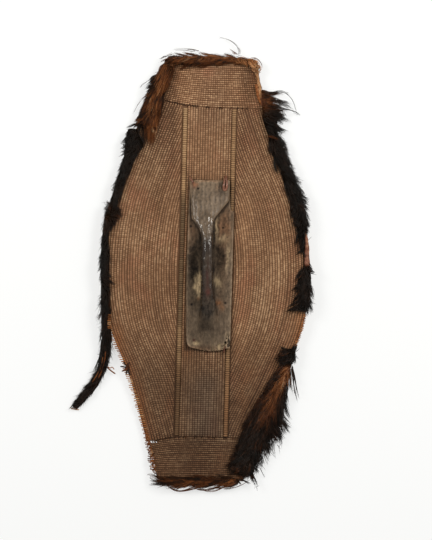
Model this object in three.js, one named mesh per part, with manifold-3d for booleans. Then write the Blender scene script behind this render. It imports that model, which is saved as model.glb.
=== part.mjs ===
// A long woven cane shield, lying on its outer face with the grip side up.
// It is a dished panel of cane rows, with a carved wooden handle board between two bound rods,
// and strips of hide with the hair left on sewn over its rim. One strip has come loose at its end.
//
// Millimetres. +X is to the right of someone looking at the grip side, +Y runs to the wider end
// of the shield, and +Z points out of the grip side. The origin is the middle of the flat
// underside that the shield lies on.
import * as THREE from "three";
import { mergeVertices } from "three/addons/utils/BufferGeometryUtils.js";
import Module from "manifold-3d";

const wasm = await Module();
wasm.setup();

// Woven panel: half widths along its length, as [y, distance from the middle].
const END_Y = 522;
const LOW_END_Y = -520;
const RIGHT_RIM = [
  [LOW_END_Y, 110], [-400, 138], [-260, 199], [-130, 247], [0, 260],
  [150, 240], [280, 187], [410, 140], [END_Y, 112],
];
const LEFT_RIM = [
  [LOW_END_Y, 107], [-400, 136], [-260, 183], [-130, 236], [0, 252],
  [150, 239], [280, 200], [410, 150], [END_Y, 113],
];
const FLAT_HALF_WIDTH = 66;
const FLAT_HALF_LENGTH = 330;
const RIM_HALF_WIDTH = 260;
const SIDE_RISE = 26;
const SIDE_RISE_POWER = 1.6;
const END_RISE = 12;
const PLY = 4.5;
const VALLEY = 5;
const RIDGE = 7;
const ROW_PITCH = 6.5;
const SIDE_ROW_PITCH = 7.3;
const BAND_ROW_PITCH = 5.1;
const ROW_INSET = 0.6;
const GAP = 0.3;

// Heights below and above everything on the shield, for tools that cut right through it.
const BELOW_ALL = -20;
const ABOVE_ALL = 80;

// How the hide strips lie: their fall for each millimetre outward, and their lowest height.
const SAG = 0.1;
const LOWEST_HIDE = 0.6;
const STRIP_GAP = 0.5;

// Where the five woven fields meet, and the channels that the two rods lie in.
const TOP_SEAM_Y = 408;
const BOTTOM_SEAM_Y = -414;
const SEAM_HALF_WIDTH = 2;
const LEFT_CHANNEL = [-70, -52];
const RIGHT_CHANNEL = [56, 72];
const LEFT_ROD_X = -59;
const RIGHT_ROD_X = 63;
const ROD_WIDTH = 10;
const ROD_HEIGHT = 6.2;
const ROD_CLEARANCE = 0.4;

// Handle board, in its own frame: its underside is at 0 and its middle at the origin.
const BOARD_CENTRE = [10.8, 15];
const BOARD_TURN = THREE.MathUtils.degToRad(0.9);
// Its sides are given at its top and low ends, and its left side and low end bow out a little.
const BOARD_HALF_LENGTH = 212;
const BOARD_LEFT = { top: 51, low: 55, bow: 3.5 };
const BOARD_RIGHT = { top: 61.5, low: 55 };
const BOARD_LOW_BOW = 3.5;
const BOARD_CORNER = 7;
const BOARD_LOW_CORNER = 22;
const BOARD_EDGE_ROUND = 1.2;
const BOARD_THICK = 7;
const HOLLOW_HALF = [50, 70, 7.5];
const HOLLOW_CENTRE = [-3, -8, BOARD_THICK + 3];
const LASHING_HOLE_RADIUS = 2.4;

// The grip, from the top end of the board down: y, left side, right side, underside, top.
const GRIP = [
  [208, -48, 48, 2, 9],
  [185, -49, 49, 2, 13],
  [160, -49, 48, 2, 17],
  [135, -48, 28, 2, 22],
  [116, -46, 13, 2, 27],
  [106, -39, 10, 2, 30],
  [93, -29, 8.5, 2, 35],
  [74, -20, 8, 2, 42],
  [58, -18, 7.4, 3, 48],
  [52, -17.5, 7.2, 17, 50],
  [36, -17, 7, 26, 52],
  [0, -16.5, 7, 29, 53],
  [-36, -15.6, 7.6, 28, 52],
  [-62, -15.2, 9.2, 22, 49],
  [-73, -15.6, 11, 14, 46],
  [-80, -16.4, 13, 2.5, 43],
  [-100, -19.5, 17.5, 2, 35],
  [-125, -24, 22, 2, 26],
  [-155, -29, 26, 2, 17],
  [-185, -32, 30, 2, 11],
  [-201, -34, 32, 2, 8],
];

const CANE = { color: 0x7a5a40, roughness: 0.85, metalness: 0 };
const PALE_CANE = { color: 0x9a7c55, roughness: 0.8, metalness: 0 };
const DARK_WOOD = { color: 0x4b443b, roughness: 0.5, metalness: 0 };
const RED_LASHING = { color: 0x7a3f26, roughness: 0.55, metalness: 0 };
const BLACK_HAIR = { color: 0x15110e, roughness: 0.75, metalness: 0 };
const RUSSET_HAIR = { color: 0x4a2413, roughness: 0.75, metalness: 0 };

// A smooth curve through [t, value] knots in rising t, read at any t between them.
function through(knots) {
  const slope = (i) => {
    const before = knots[Math.max(i - 1, 0)];
    const after = knots[Math.min(i + 1, knots.length - 1)];
    return (after[1] - before[1]) / (after[0] - before[0]);
  };
  return (t) => {
    let i = 0;
    while (i < knots.length - 2 && t > knots[i + 1][0]) i += 1;
    const [t0, v0] = knots[i];
    const [t1, v1] = knots[i + 1];
    const f = THREE.MathUtils.clamp((t - t0) / (t1 - t0), 0, 1);
    const ease = f * f * (3 - 2 * f);
    const bend = (t1 - t0) * f * (1 - f);
    return v0 + (v1 - v0) * ease + bend * (slope(i) * (1 - f) - slope(i + 1) * f);
  };
}

const rightRim = through(RIGHT_RIM);
const leftRim = through(LEFT_RIM);

// Height of the panel's underside over the surface that it lies on.
function dish(x, y) {
  const sideward = Math.max(Math.abs(x) - FLAT_HALF_WIDTH, 0) / (RIM_HALF_WIDTH - FLAT_HALF_WIDTH);
  const endward = Math.max(Math.abs(y) - FLAT_HALF_LENGTH, 0) / (END_Y - FLAT_HALF_LENGTH);
  return SIDE_RISE * sideward ** SIDE_RISE_POWER + END_RISE * endward ** 2;
}

function spaced(from, to, steps) {
  return Array.from({ length: steps + 1 }, (_, i) => from + ((to - from) * i) / steps);
}

// Stations along the shield that every layer of the panel shares, so that their rims agree.
const FIELD_LOW = BOTTOM_SEAM_Y - SEAM_HALF_WIDTH;
const FIELD_HIGH = TOP_SEAM_Y + SEAM_HALF_WIDTH;
const FIELD_STATIONS = [
  ...spaced(BOTTOM_SEAM_Y + SEAM_HALF_WIDTH, -FLAT_HALF_LENGTH, 2),
  ...spaced(-FLAT_HALF_LENGTH, FLAT_HALF_LENGTH, 8).slice(1, -1),
  ...spaced(FLAT_HALF_LENGTH, TOP_SEAM_Y - SEAM_HALF_WIDTH, 2),
];
const PANEL_STATIONS = [...spaced(LOW_END_Y, FIELD_LOW, 3), ...FIELD_STATIONS, ...spaced(FIELD_HIGH, END_Y, 3)];

// Numbers from 0 to 1 that come out the same each time, for the scatter of the hair.
function scatter(seed) {
  let state = seed;
  return () => {
    state = (state * 16807) % 2147483647;
    return state / 2147483647;
  };
}

// The geometry of a closed surface given as points and as faces of point numbers.
function geometryOf(points, triangles) {
  const geometry = new THREE.BufferGeometry();
  geometry.setAttribute("position", new THREE.Float32BufferAttribute(points.flat(), 3));
  geometry.setIndex(triangles.flat());
  return geometry;
}

// The solid inside a closed geometry, whichever way round its faces were listed.
function solidOf(geometry, matrix = new THREE.Matrix4()) {
  const bare = new THREE.BufferGeometry();
  bare.setAttribute("position", (geometry.index ? geometry.toNonIndexed() : geometry).getAttribute("position"));
  const merged = mergeVertices(bare.applyMatrix4(matrix), 1e-4);
  const triVerts = new Uint32Array(merged.index.array);
  const vertProperties = merged.attributes.position.array;
  const build = () => new wasm.Manifold(new wasm.Mesh({ numProp: 3, vertProperties, triVerts }));
  const solid = build();
  if (solid.volume() > 0) return solid;
  for (let i = 0; i < triVerts.length; i += 3) {
    [triVerts[i + 1], triVerts[i + 2]] = [triVerts[i + 2], triVerts[i + 1]];
  }
  return build();
}

// The geometry of a solid's largest body.
function largestBody(solid) {
  const bodies = solid.decompose().sort((a, b) => b.volume() - a.volume());
  const { vertProperties, triVerts, numProp } = bodies[0].getMesh();
  const geometry = new THREE.BufferGeometry();
  const points = vertProperties.filter((_, i) => i % numProp < 3);
  geometry.setAttribute("position", new THREE.BufferAttribute(new Float32Array(points), 3));
  geometry.setIndex(new THREE.BufferAttribute(new Uint32Array(triVerts), 1));
  return geometry;
}

function meshOf(name, geometry, look) {
  const shown = geometry.index ? geometry.toNonIndexed() : geometry;
  shown.computeVertexNormals();
  const mesh = new THREE.Mesh(shown, new THREE.MeshStandardMaterial(look));
  mesh.name = name;
  return mesh;
}

// A closed slab between an upper and a lower grid of points, both upper[i][j] and lower[i][j].
function slab(upper, lower) {
  const rows = upper.length;
  const columns = upper[0].length;
  const points = [...upper.flat(), ...lower.flat()];
  const at = (i, j, under) => i * columns + j + (under ? rows * columns : 0);
  const triangles = [];
  const quad = (a, b, c, d) => triangles.push([a, b, c], [a, c, d]);
  for (let i = 0; i < rows - 1; i += 1) {
    for (let j = 0; j < columns - 1; j += 1) {
      quad(at(i, j), at(i + 1, j), at(i + 1, j + 1), at(i, j + 1));
      quad(at(i, j, true), at(i, j + 1, true), at(i + 1, j + 1, true), at(i + 1, j, true));
    }
    quad(at(i, 0), at(i, 0, true), at(i + 1, 0, true), at(i + 1, 0));
    quad(at(i, columns - 1), at(i + 1, columns - 1), at(i + 1, columns - 1, true), at(i, columns - 1, true));
  }
  for (let j = 0; j < columns - 1; j += 1) {
    quad(at(0, j), at(0, j + 1), at(0, j + 1, true), at(0, j, true));
    quad(at(rows - 1, j), at(rows - 1, j, true), at(rows - 1, j + 1, true), at(rows - 1, j + 1));
  }
  return geometryOf(points, triangles);
}

// A closed skin over rings of points that all have the same count, capped at both ends.
function loft(rings) {
  const count = rings[0].length;
  const triangles = [];
  for (let i = 0; i < rings.length - 1; i += 1) {
    for (let k = 0; k < count; k += 1) {
      const next = (k + 1) % count;
      const [a, b] = [i * count + k, i * count + next];
      triangles.push([a, b, b + count], [a, b + count, a + count]);
    }
  }
  const last = (rings.length - 1) * count;
  for (let k = 1; k < count - 1; k += 1) {
    triangles.push([0, k + 1, k], [last, last + k, last + k + 1]);
  }
  return geometryOf(rings.flat(), triangles);
}

// An upright box between two corners, as a cutting tool.
function block([x0, y0, z0], [x1, y1, z1]) {
  const box = new THREE.BoxGeometry(x1 - x0, y1 - y0, z1 - z0);
  return box.translate((x0 + x1) / 2, (y0 + y1) / 2, (z0 + z1) / 2);
}

// The plain ply under the rows. Grown, it is the tool that keeps the hide strips off the panel.
function plyGeometry(thickness, grow = 0) {
  const stations = [...PANEL_STATIONS];
  stations[0] -= 2 * grow;
  stations[stations.length - 1] += 2 * grow;
  const across = (y) => [
    ...spaced(-leftRim(y) - 2 * grow, -FLAT_HALF_WIDTH, 5),
    ...spaced(FLAT_HALF_WIDTH, rightRim(y) + 2 * grow, 5),
  ];
  const sheet = (height) => stations.map((y) => across(y).map((x) => [x, y, dish(x, y) + height]));
  return slab(sheet(thickness + grow), sheet(-grow));
}

// Rows of cane as ridges. place(u, v) gives the point of row u at station v on the panel.
function rowsGeometry(rowCount, stations, place) {
  const edges = Array.from({ length: 2 * rowCount + 1 }, (_, i) => i / 2);
  const sheet = (height) =>
    edges.map((u) =>
      stations.map((v) => {
        const [x, y] = place(u, v);
        return [x, y, dish(x, y) + height(u)];
      }),
    );
  return slab(sheet((u) => (Number.isInteger(u) ? VALLEY : RIDGE)), sheet(() => PLY / 2));
}

// One side field: its rows run parallel to the rim and are cut off by the rod's channel.
function sideField(rim, side, channelX) {
  const rowCount = Math.ceil((RIM_HALF_WIDTH - channelX) / SIDE_ROW_PITCH);
  const rows = rowsGeometry(rowCount, FIELD_STATIONS, (u, y) => [side * (rim(y) - ROW_INSET - u * SIDE_ROW_PITCH), y]);
  const farX = RIM_HALF_WIDTH + 40;
  const reach = side > 0 ? [channelX, farX] : [-farX, -channelX];
  const field = block([reach[0], -END_Y, BELOW_ALL], [reach[1], END_Y, ABOVE_ALL]);
  return solidOf(rows).intersect(solidOf(field));
}

// The middle field between the two channels, with straight rows.
function middleField() {
  const width = RIGHT_CHANNEL[0] - LEFT_CHANNEL[1];
  const rowCount = Math.round(width / ROW_PITCH);
  const stations = FIELD_STATIONS.filter((y) => Math.abs(y) >= FLAT_HALF_LENGTH);
  return solidOf(rowsGeometry(rowCount, stations, (u, y) => [LEFT_CHANNEL[1] + (u * width) / rowCount, y]));
}

// One end band, whose rows run across the shield.
function endBand(fromY, toY) {
  const rowCount = Math.round((toY - fromY) / BAND_ROW_PITCH);
  return solidOf(
    rowsGeometry(rowCount, [0, 0.15, 0.85, 1], (u, v) => {
      const y = fromY + ((toY - fromY) * u) / rowCount;
      return [THREE.MathUtils.lerp(-leftRim(y) + ROW_INSET, rightRim(y) - ROW_INSET, v), y];
    }),
  );
}

// Places at the lower left corner where the weave has broken through, as centre and size.
const BROKEN_WEAVE = [[-137, -430, 9, 7], [-121, -429, 5, 4], [-112, -429, 4, 4]];

function wovenPanel() {
  let panel = solidOf(plyGeometry(PLY))
    .add(sideField(rightRim, 1, RIGHT_CHANNEL[1]))
    .add(sideField(leftRim, -1, -LEFT_CHANNEL[0]))
    .add(middleField())
    .add(endBand(TOP_SEAM_Y + SEAM_HALF_WIDTH, END_Y - ROW_INSET))
    .add(endBand(LOW_END_Y + ROW_INSET, BOTTOM_SEAM_Y - SEAM_HALF_WIDTH));
  for (const [x, y, width, height] of BROKEN_WEAVE) {
    const hole = block([x - width / 2, y - height / 2, BELOW_ALL], [x + width / 2, y + height / 2, ABOVE_ALL]);
    panel = panel.subtract(solidOf(hole));
  }
  return largestBody(panel);
}

// A bound cane rod, flat below and round above, lying in its channel.
function rodGeometry(x, grow = 0) {
  const half = ROD_WIDTH / 2 + grow;
  const section = [
    [-half, 0.3],
    [-half * 0.86, 0.66],
    [-half * 0.4, 1],
    [half * 0.4, 1],
    [half * 0.86, 0.66],
    [half, 0.3],
    [half * 0.8, 0],
    [-half * 0.8, 0],
  ];
  const inside = SEAM_HALF_WIDTH + 1;
  const [lowY, highY] = [BOTTOM_SEAM_Y + inside, TOP_SEAM_Y - inside];
  const stations = [...spaced(lowY, -FLAT_HALF_LENGTH, 3), 0, ...spaced(FLAT_HALF_LENGTH, highY, 3)];
  const point = (y, across, up) => [x + across, y, dish(x, y) + PLY + GAP - grow + up * (ROD_HEIGHT + 2 * grow)];
  return loft(stations.map((y) => section.map(([across, up]) => point(y, across, up))));
}

// The board's outline. Its low end has rounder corners, most of all on the left.
function boardOutline() {
  const [top, low] = [BOARD_HALF_LENGTH, -BOARD_HALF_LENGTH + BOARD_LOW_BOW];
  const leftBow = (BOARD_LEFT.top + BOARD_LEFT.low) / 2 + 2 * BOARD_LEFT.bow;
  const shape = new THREE.Shape();
  shape.moveTo(-BOARD_LEFT.low + BOARD_LOW_CORNER, low);
  shape.quadraticCurveTo(0, low - 4 * BOARD_LOW_BOW, BOARD_RIGHT.low - BOARD_CORNER, low);
  shape.quadraticCurveTo(BOARD_RIGHT.low, low, BOARD_RIGHT.low, low + BOARD_CORNER);
  shape.lineTo(BOARD_RIGHT.top, top - BOARD_CORNER);
  shape.quadraticCurveTo(BOARD_RIGHT.top, top, BOARD_RIGHT.top - BOARD_CORNER, top);
  shape.lineTo(-BOARD_LEFT.top + BOARD_CORNER, top);
  shape.quadraticCurveTo(-BOARD_LEFT.top, top, -BOARD_LEFT.top, top - BOARD_CORNER);
  shape.quadraticCurveTo(-leftBow, 0, -BOARD_LEFT.low, low + BOARD_LOW_CORNER);
  shape.quadraticCurveTo(-BOARD_LEFT.low, low, -BOARD_LEFT.low + BOARD_LOW_CORNER, low);
  return shape;
}

function boardPlate() {
  const plate = new THREE.ExtrudeGeometry(boardOutline(), {
    depth: BOARD_THICK - 2 * BOARD_EDGE_ROUND,
    bevelThickness: BOARD_EDGE_ROUND,
    bevelSize: BOARD_EDGE_ROUND,
    bevelOffset: -BOARD_EDGE_ROUND,
    bevelSegments: 1,
    curveSegments: 4,
  });
  return plate.translate(0, 0, BOARD_EDGE_ROUND);
}

// The shallow bowl behind the grip that gives room for the fingers.
function handHollow() {
  const bowl = new THREE.SphereGeometry(1, 20, 12);
  bowl.scale(...HOLLOW_HALF);
  return bowl.translate(...HOLLOW_CENTRE);
}

// The grip as a loft of rounded sections: a fan at the top, a free bar, and a bill at the bottom.
function gripGeometry() {
  const sides = 14;
  const roundness = 0.72;
  const side = (value) => Math.sign(value) * Math.abs(value) ** roundness;
  const column = (index) => through(GRIP.map((row) => [-row[0], row[index]]));
  const [left, right, under, over] = [1, 2, 3, 4].map(column);
  return loft(
    GRIP.map(([y]) => {
      const [l, r, u, o] = [left, right, under, over].map((read) => read(-y));
      return Array.from({ length: sides }, (_, k) => {
        const angle = (2 * Math.PI * (k + 0.5)) / sides;
        const across = ((r - l) / 2) * side(Math.cos(angle));
        const up = ((o - u) / 2) * side(Math.sin(angle));
        return [(l + r) / 2 + across, y, (u + o) / 2 + up];
      });
    }),
  );
}

// Lashing holes through the board: centre, and half length of the one that is worn to a slot.
const LASHING_HOLES = [[-30, 190], [-47, 96], [33, 93], [-43, -98], [41, -94], [43, -193]];
const WORN_HOLE = [37, 187];
const WORN_HOLE_HALF = [4.6, 2.6];

function lashingHole([x, y], halfWidth, halfLength) {
  const hole = new THREE.CylinderGeometry(1, 1, 120, 8);
  hole.rotateX(Math.PI / 2);
  hole.scale(halfWidth, halfLength, 1);
  return hole.translate(x, y, 0);
}

// The board's upper right edge is worn back so far that the rod under it shows.
const WORN_EDGE = [[56, 240], [56.5, 200], [60.5, 154], [76, 147], [90, 147], [90, 240]];

function wornEdge() {
  const shape = new THREE.Shape(WORN_EDGE.map(([x, y]) => new THREE.Vector2(x, y)));
  return new THREE.ExtrudeGeometry(shape, { depth: ABOVE_ALL, bevelEnabled: false });
}

// The board's right margin lies over the rod, thinned so that the rod can pass under it.
function rodRebate() {
  const high = PLY + GAP + ROD_HEIGHT + ROD_CLEARANCE;
  return block([RIGHT_ROD_X, -END_Y, 0], [RIGHT_ROD_X + 2 * ROD_WIDTH, END_Y, high]);
}

function handleBoard(boardMatrix) {
  const toBoard = boardMatrix.clone().invert();
  let board = solidOf(boardPlate())
    .subtract(solidOf(handHollow()))
    .add(solidOf(gripGeometry()))
    .subtract(solidOf(rodGeometry(RIGHT_ROD_X, ROD_CLEARANCE), toBoard))
    .subtract(solidOf(rodRebate(), toBoard))
    .subtract(solidOf(wornEdge(), toBoard))
    .subtract(solidOf(lashingHole(WORN_HOLE, ...WORN_HOLE_HALF)));
  for (const centre of LASHING_HOLES) {
    board = board.subtract(solidOf(lashingHole(centre, LASHING_HOLE_RADIUS, LASHING_HOLE_RADIUS)));
  }
  return largestBody(board);
}

// A thin cane lashing along a route in the board's frame.
function lashing(route, radius) {
  const path = new THREE.CatmullRomCurve3(route.map((point) => new THREE.Vector3(...point)));
  const section = new THREE.Shape();
  const sides = 5;
  for (let k = 0; k < sides; k += 1) {
    const angle = (2 * Math.PI * k) / sides;
    const [x, y] = [radius * Math.cos(angle), radius * Math.sin(angle)];
    if (k === 0) section.moveTo(x, y);
    else section.lineTo(x, y);
  }
  const steps = Math.round(1.5 * route.length);
  return new THREE.ExtrudeGeometry(section, { steps, extrudePath: path, bevelEnabled: false });
}

// The direction across a strip that points away from the middle of the shield.
function outwardOf(tangent, x, y) {
  const out = [tangent.y, -tangent.x];
  return out[0] * x + out[1] * y < 0 ? [-out[0], -out[1]] : out;
}

function insideRim(x, y) {
  return x > -leftRim(y) && x < rightRim(y) && Math.abs(y) < END_Y;
}

// Height of hide that was flat at one place, moved across: it follows the panel inside the rim
// and sags outside it, and never sinks under the surface that the shield lies on.
function layDown(x, y, z, across, out, rise) {
  const [toX, toY] = [x + out[0] * across, y + out[1] * across];
  const followed = across < 0 && insideRim(toX, toY) ? dish(toX, toY) - dish(x, y) : 0;
  const sag = across > 0 ? SAG * across : 0;
  return [toX, toY, Math.max(z + rise + followed - sag, LOWEST_HIDE)];
}

// A strip's knots as one smooth curve for each of their numbers.
function knotColumns(knots) {
  return knots[0].map((_, index) => through(knots.map((knot, i) => [i, knot[index]])));
}

// One strip of hide with its hair. Each knot is a station on the strip's middle line:
// x, y, z, then how far it reaches inward, outward, up and down from there.
function stripRings(knots, grow) {
  const columns = knotColumns(knots);
  const stations = spaced(0, knots.length - 1, knots.length - 1);
  return stations.map((t) => {
    const [x, y, z, inward, outward, up, down] = columns.map((read) => read(t));
    const step = 0.02;
    const [before, after] = [Math.max(t - step, 0), Math.min(t + step, knots.length - 1)];
    const tangent = new THREE.Vector2(columns[0](after) - columns[0](before), columns[1](after) - columns[1](before));
    tangent.normalize();
    const out = outwardOf(tangent, x, y);
    const [i, o, u, d] = [inward + grow, outward + grow, up + grow, down + grow];
    const section = [
      [-i, 0.5 * u],
      [-0.7 * i, 0.95 * u],
      [0.1 * o, u],
      [0.75 * o, 0.65 * u],
      [o, 0],
      [0.5 * o, -0.85 * d],
      [-0.6 * i, -0.8 * d],
    ];
    return section.map(([across, rise]) => layDown(x, y, z, across, out, rise));
  });
}

// A pointed lock of hair from its root to its tip.
function lockRings([rootX, rootY, rootZ], [tipX, tipY, tipZ], radius) {
  const root = new THREE.Vector3(rootX, rootY, rootZ);
  const tip = new THREE.Vector3(tipX, tipY, tipZ);
  const along = tip.clone().sub(root).setZ(0).normalize();
  const across = new THREE.Vector3(-along.y, along.x, 0);
  const ring = (centre, width) =>
    [[-1, 0], [0, 0.6], [1, 0], [0, -0.6]].map(([a, b]) => [
      centre.x + across.x * a * width,
      centre.y + across.y * a * width,
      centre.z + b * width,
    ]);
  return [ring(root, radius), ring(tip, radius * 0.12)];
}

// A strip's solid: its body and its locks as one, kept clear of the panel and of other strips.
function stripSolid({ knots, locks }, grow) {
  let strip = solidOf(loft(stripRings(knots, grow)));
  for (const { root, tip, radius } of locks) {
    strip = strip.add(solidOf(loft(lockRings(root, tip, radius + grow))));
  }
  return strip;
}

// Locks spread along a strip. Each grows from the strip, leans along it and reaches past its side.
function locksAlong(knots, { count, from, to, lean, reach, radius, seed, side = 1 }) {
  const random = scatter(seed);
  const columns = knotColumns(knots);
  return spaced(from, to, count - 1).map((t) => {
    const [x, y, z, inward, outward, up] = columns.map((read) => read(t));
    const [nextX, nextY] = [columns[0](t + 0.05), columns[1](t + 0.05)];
    const tangent = new THREE.Vector2(nextX - x, nextY - y).normalize();
    const out = outwardOf(tangent, x, y).map((part) => part * side);
    const width = side > 0 ? outward : inward;
    const start = width * (0.25 + 0.2 * random());
    const end = width + reach * (0.5 + 0.8 * random());
    const drift = lean * (0.7 + 0.6 * random());
    const tipZ = Math.max(z + up * (0.1 + 0.5 * random()), 3);
    const innerTipZ = z + up * 0.55;
    return {
      root: [x + out[0] * start, y + out[1] * start, z + up * 0.3],
      tip: [x + out[0] * end + tangent.x * drift, y + out[1] * end + tangent.y * drift, side > 0 ? tipZ : innerTipZ],
      radius: radius * (0.8 + 0.4 * random()),
    };
  });
}

const rimZ = (x, y) => dish(x, y) + RIDGE / 2;
const leftKnot = (y, ...reach) => [-leftRim(y), y, rimZ(leftRim(y), y), ...reach];
const rightKnot = (y, ...reach) => [rightRim(y), y, rimZ(rightRim(y), y), ...reach];
const endKnot = (x, y, ...reach) => [x, y, rimZ(x, y), ...reach];

// Left strip: black and narrow, sewn along the rim and then hanging loose to a cut end.
const LEFT_STRIP = [
  [-188, 352, rimZ(188, 352), 14, 16, 9, 5],
  leftKnot(312, 33, 22, 13, 7),
  leftKnot(275, 26, 11, 12, 7),
  leftKnot(215, 24, 6, 11, 7),
  leftKnot(165, 22, 5, 11, 7),
  leftKnot(132, 34, 13, 13, 7),
  leftKnot(95, 14, 10, 11, 7),
  leftKnot(40, 20, 10, 12, 7),
  leftKnot(-40, 20, 9, 12, 7),
  leftKnot(-115, 14, 16, 12, 7),
  [-236, -165, 18, 15, 19, 11, 7],
  [-241, -205, 14, 17, 17, 11, 7],
  [-250, -250, 9, 15, 13, 9, 6],
  [-270, -292, 7, 15, 14, 7, 5.5],
  [-297, -326, 6, 15, 15, 7, 5],
  [-318, -352, 6, 13, 13, 6, 5],
];

// Upper left strip: russet, wide over the panel, its hair falling towards the left strip.
const UPPER_LEFT_STRIP = [
  leftKnot(516, 36, 4, 10, 6),
  leftKnot(470, 29, 15, 14, 7),
  leftKnot(430, 35, 17, 15, 7),
  leftKnot(390, 40, 17, 14, 7),
  leftKnot(360, 42, 12, 12, 6),
];

// Top strip: russet, its hair lying along the end of the shield.
const TOP_STRIP = [
  endKnot(90, END_Y, 4, 6, 8, 5),
  endKnot(62, END_Y, 7, 17, 11, 6),
  endKnot(20, END_Y, 9, 24, 13, 7),
  endKnot(-30, END_Y, 12, 22, 14, 7),
  endKnot(-80, END_Y, 10, 18, 13, 7),
  endKnot(-104, END_Y, 7, 15, 10, 6),
];

// Right strip: black, long and tufted at its upper end and narrow further down.
const RIGHT_STRIP = [
  rightKnot(458, 6, 10, 9, 6),
  rightKnot(425, 12, 34, 13, 8),
  rightKnot(388, 20, 52, 15, 9),
  rightKnot(346, 22, 19, 14, 8),
  rightKnot(305, 25, 22, 14, 8),
  rightKnot(250, 21, 19, 13, 8),
  rightKnot(195, 27, 18, 13, 8),
  rightKnot(132, 34, 12, 13, 8),
  rightKnot(102, 26, 4, 9, 5),
  rightKnot(50, 24, 4, 9, 5),
  rightKnot(14, 25, 5, 11, 7),
  rightKnot(-30, 35, 10, 13, 8),
  rightKnot(-70, 20, 10, 12, 7),
  rightKnot(-97, 10, 5, 9, 5),
];

// Lower right strip: russet at its roots and black beyond, the longest hair on the shield.
const LOWER_RIGHT_STRIP = [
  rightKnot(-178, 8, 3.5, 8, 5),
  rightKnot(-202, 36, 16, 14, 7),
  rightKnot(-232, 24, 17, 14, 7),
  rightKnot(-275, 29, 33, 16, 8),
  rightKnot(-330, 34, 60, 18, 8),
  rightKnot(-372, 32, 74, 18, 9),
  rightKnot(-415, 34, 53, 18, 9),
  rightKnot(-460, 38, 34, 17, 9),
  rightKnot(-500, 46, 26, 14, 8),
];

// Bottom strip: russet, its hair lying along the narrow end.
const BOTTOM_STRIP = [
  endKnot(-92, -520, 7, 18, 9, 6),
  endKnot(-50, -520, 9, 22, 12, 7),
  endKnot(0, -520, 12, 21, 13, 7),
  endKnot(56, -520, 13, 15, 12, 7),
  endKnot(102, -520, 9, 10, 10, 6),
];

const lockAt = (root, tip, radius) => ({ root, tip, radius });

const STRIPS = {
  hide_strip_left: {
    look: BLACK_HAIR,
    knots: LEFT_STRIP,
    locks: [
      lockAt([-186, 345, 24], [-211, 353, 22], 3.5),
      lockAt([-196, 330, 26], [-213, 312, 24], 6),
      lockAt([-248, 80, 28], [-264, 68, 24], 5),
      lockAt([-248, 20, 28], [-264, 2, 24], 5),
      lockAt([-252, -120, 22], [-262, -142, 20], 4),
      lockAt([-222, 150, 30], [-206, 132, 36], 7),
      lockAt([-252, 158, 24], [-253, 143, 24], 6),
      lockAt([-240, -232, 14], [-216, -260, 8], 3),
    ],
  },
  hide_strip_upper_left: {
    look: RUSSET_HAIR,
    knots: UPPER_LEFT_STRIP,
    locks: [
      ...locksAlong(UPPER_LEFT_STRIP, { count: 5, from: 0.5, to: 3.6, lean: 22, reach: 10, radius: 7, seed: 11 }),
      lockAt([-136, 478, 24], [-164, 460, 20], 5),
      lockAt([-146, 372, 32], [-150, 322, 33], 9),
      lockAt([-134, 372, 30], [-141, 292, 26], 8),
    ],
  },
  hide_strip_top: {
    look: RUSSET_HAIR,
    knots: TOP_STRIP,
    locks: [
      ...locksAlong(TOP_STRIP, { count: 6, from: 0.4, to: 4.6, lean: 28, reach: 6, radius: 6, seed: 5 }),
      lockAt([-88, 530, 24], [-138, 514, 18], 6),
      lockAt([-92, 536, 22], [-126, 536, 16], 6),
      lockAt([-14, 518, 28], [-52, 503, 27], 6),
    ],
  },
  hide_strip_right: {
    look: BLACK_HAIR,
    knots: RIGHT_STRIP,
    locks: [
      lockAt([142, 442, 20], [196, 447, 18], 5),
      lockAt([150, 424, 22], [202, 427, 18], 7),
      lockAt([154, 408, 22], [216, 402, 17], 7),
      lockAt([158, 392, 22], [202, 381, 18], 9),
      lockAt([162, 366, 22], [196, 355, 18], 9),
      ...locksAlong(RIGHT_STRIP, { count: 6, from: 3.4, to: 6.9, lean: 16, reach: 7, radius: 7, seed: 29 }),
      lockAt([256, 20, 30], [268, 14, 26], 5),
      lockAt([258, -25, 30], [273, -52, 25], 6),
      lockAt([256, -62, 30], [270, -92, 25], 5),
      lockAt([246, -84, 36], [199, -96, 30], 8),
    ],
  },
  hide_strip_lower_right: {
    look: BLACK_HAIR,
    knots: LOWER_RIGHT_STRIP,
    locks: [
      lockAt([214, -208, 26], [178, -212, 25], 9),
      lockAt([222, -236, 24], [244, -314, 20], 3),
      ...locksAlong(LOWER_RIGHT_STRIP, { count: 10, from: 2.8, to: 7.9, lean: 38, reach: 15, radius: 9, seed: 41 }),
      ...locksAlong(LOWER_RIGHT_STRIP, {
        count: 4, from: 2.6, to: 7.2, lean: 32, reach: 8, radius: 9, seed: 43, side: -1,
      }),
    ],
  },
  hide_strip_bottom: {
    look: RUSSET_HAIR,
    knots: BOTTOM_STRIP,
    locks: [
      ...locksAlong(BOTTOM_STRIP, { count: 5, from: 0.6, to: 3.8, lean: -30, reach: 5, radius: 6, seed: 61 }),
      lockAt([-76, -528, 20], [-119, -524, 12], 6),
      lockAt([-78, -536, 18], [-114, -540, 10], 5),
      lockAt([4, -534, 16], [-58, -551, 8], 4),
    ],
  },
};

// Builds every strip, each cut back from the panel and from the strips made before it.
function hideStrips() {
  const panel = solidOf(plyGeometry(RIDGE + 1, 2 * GAP));
  const made = [];
  return Object.entries(STRIPS).map(([name, strip]) => {
    let solid = stripSolid(strip, 0).subtract(panel);
    for (const neighbour of made) solid = solid.subtract(neighbour);
    made.push(stripSolid(strip, STRIP_GAP));
    return meshOf(name, largestBody(solid), strip.look);
  });
}

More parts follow.
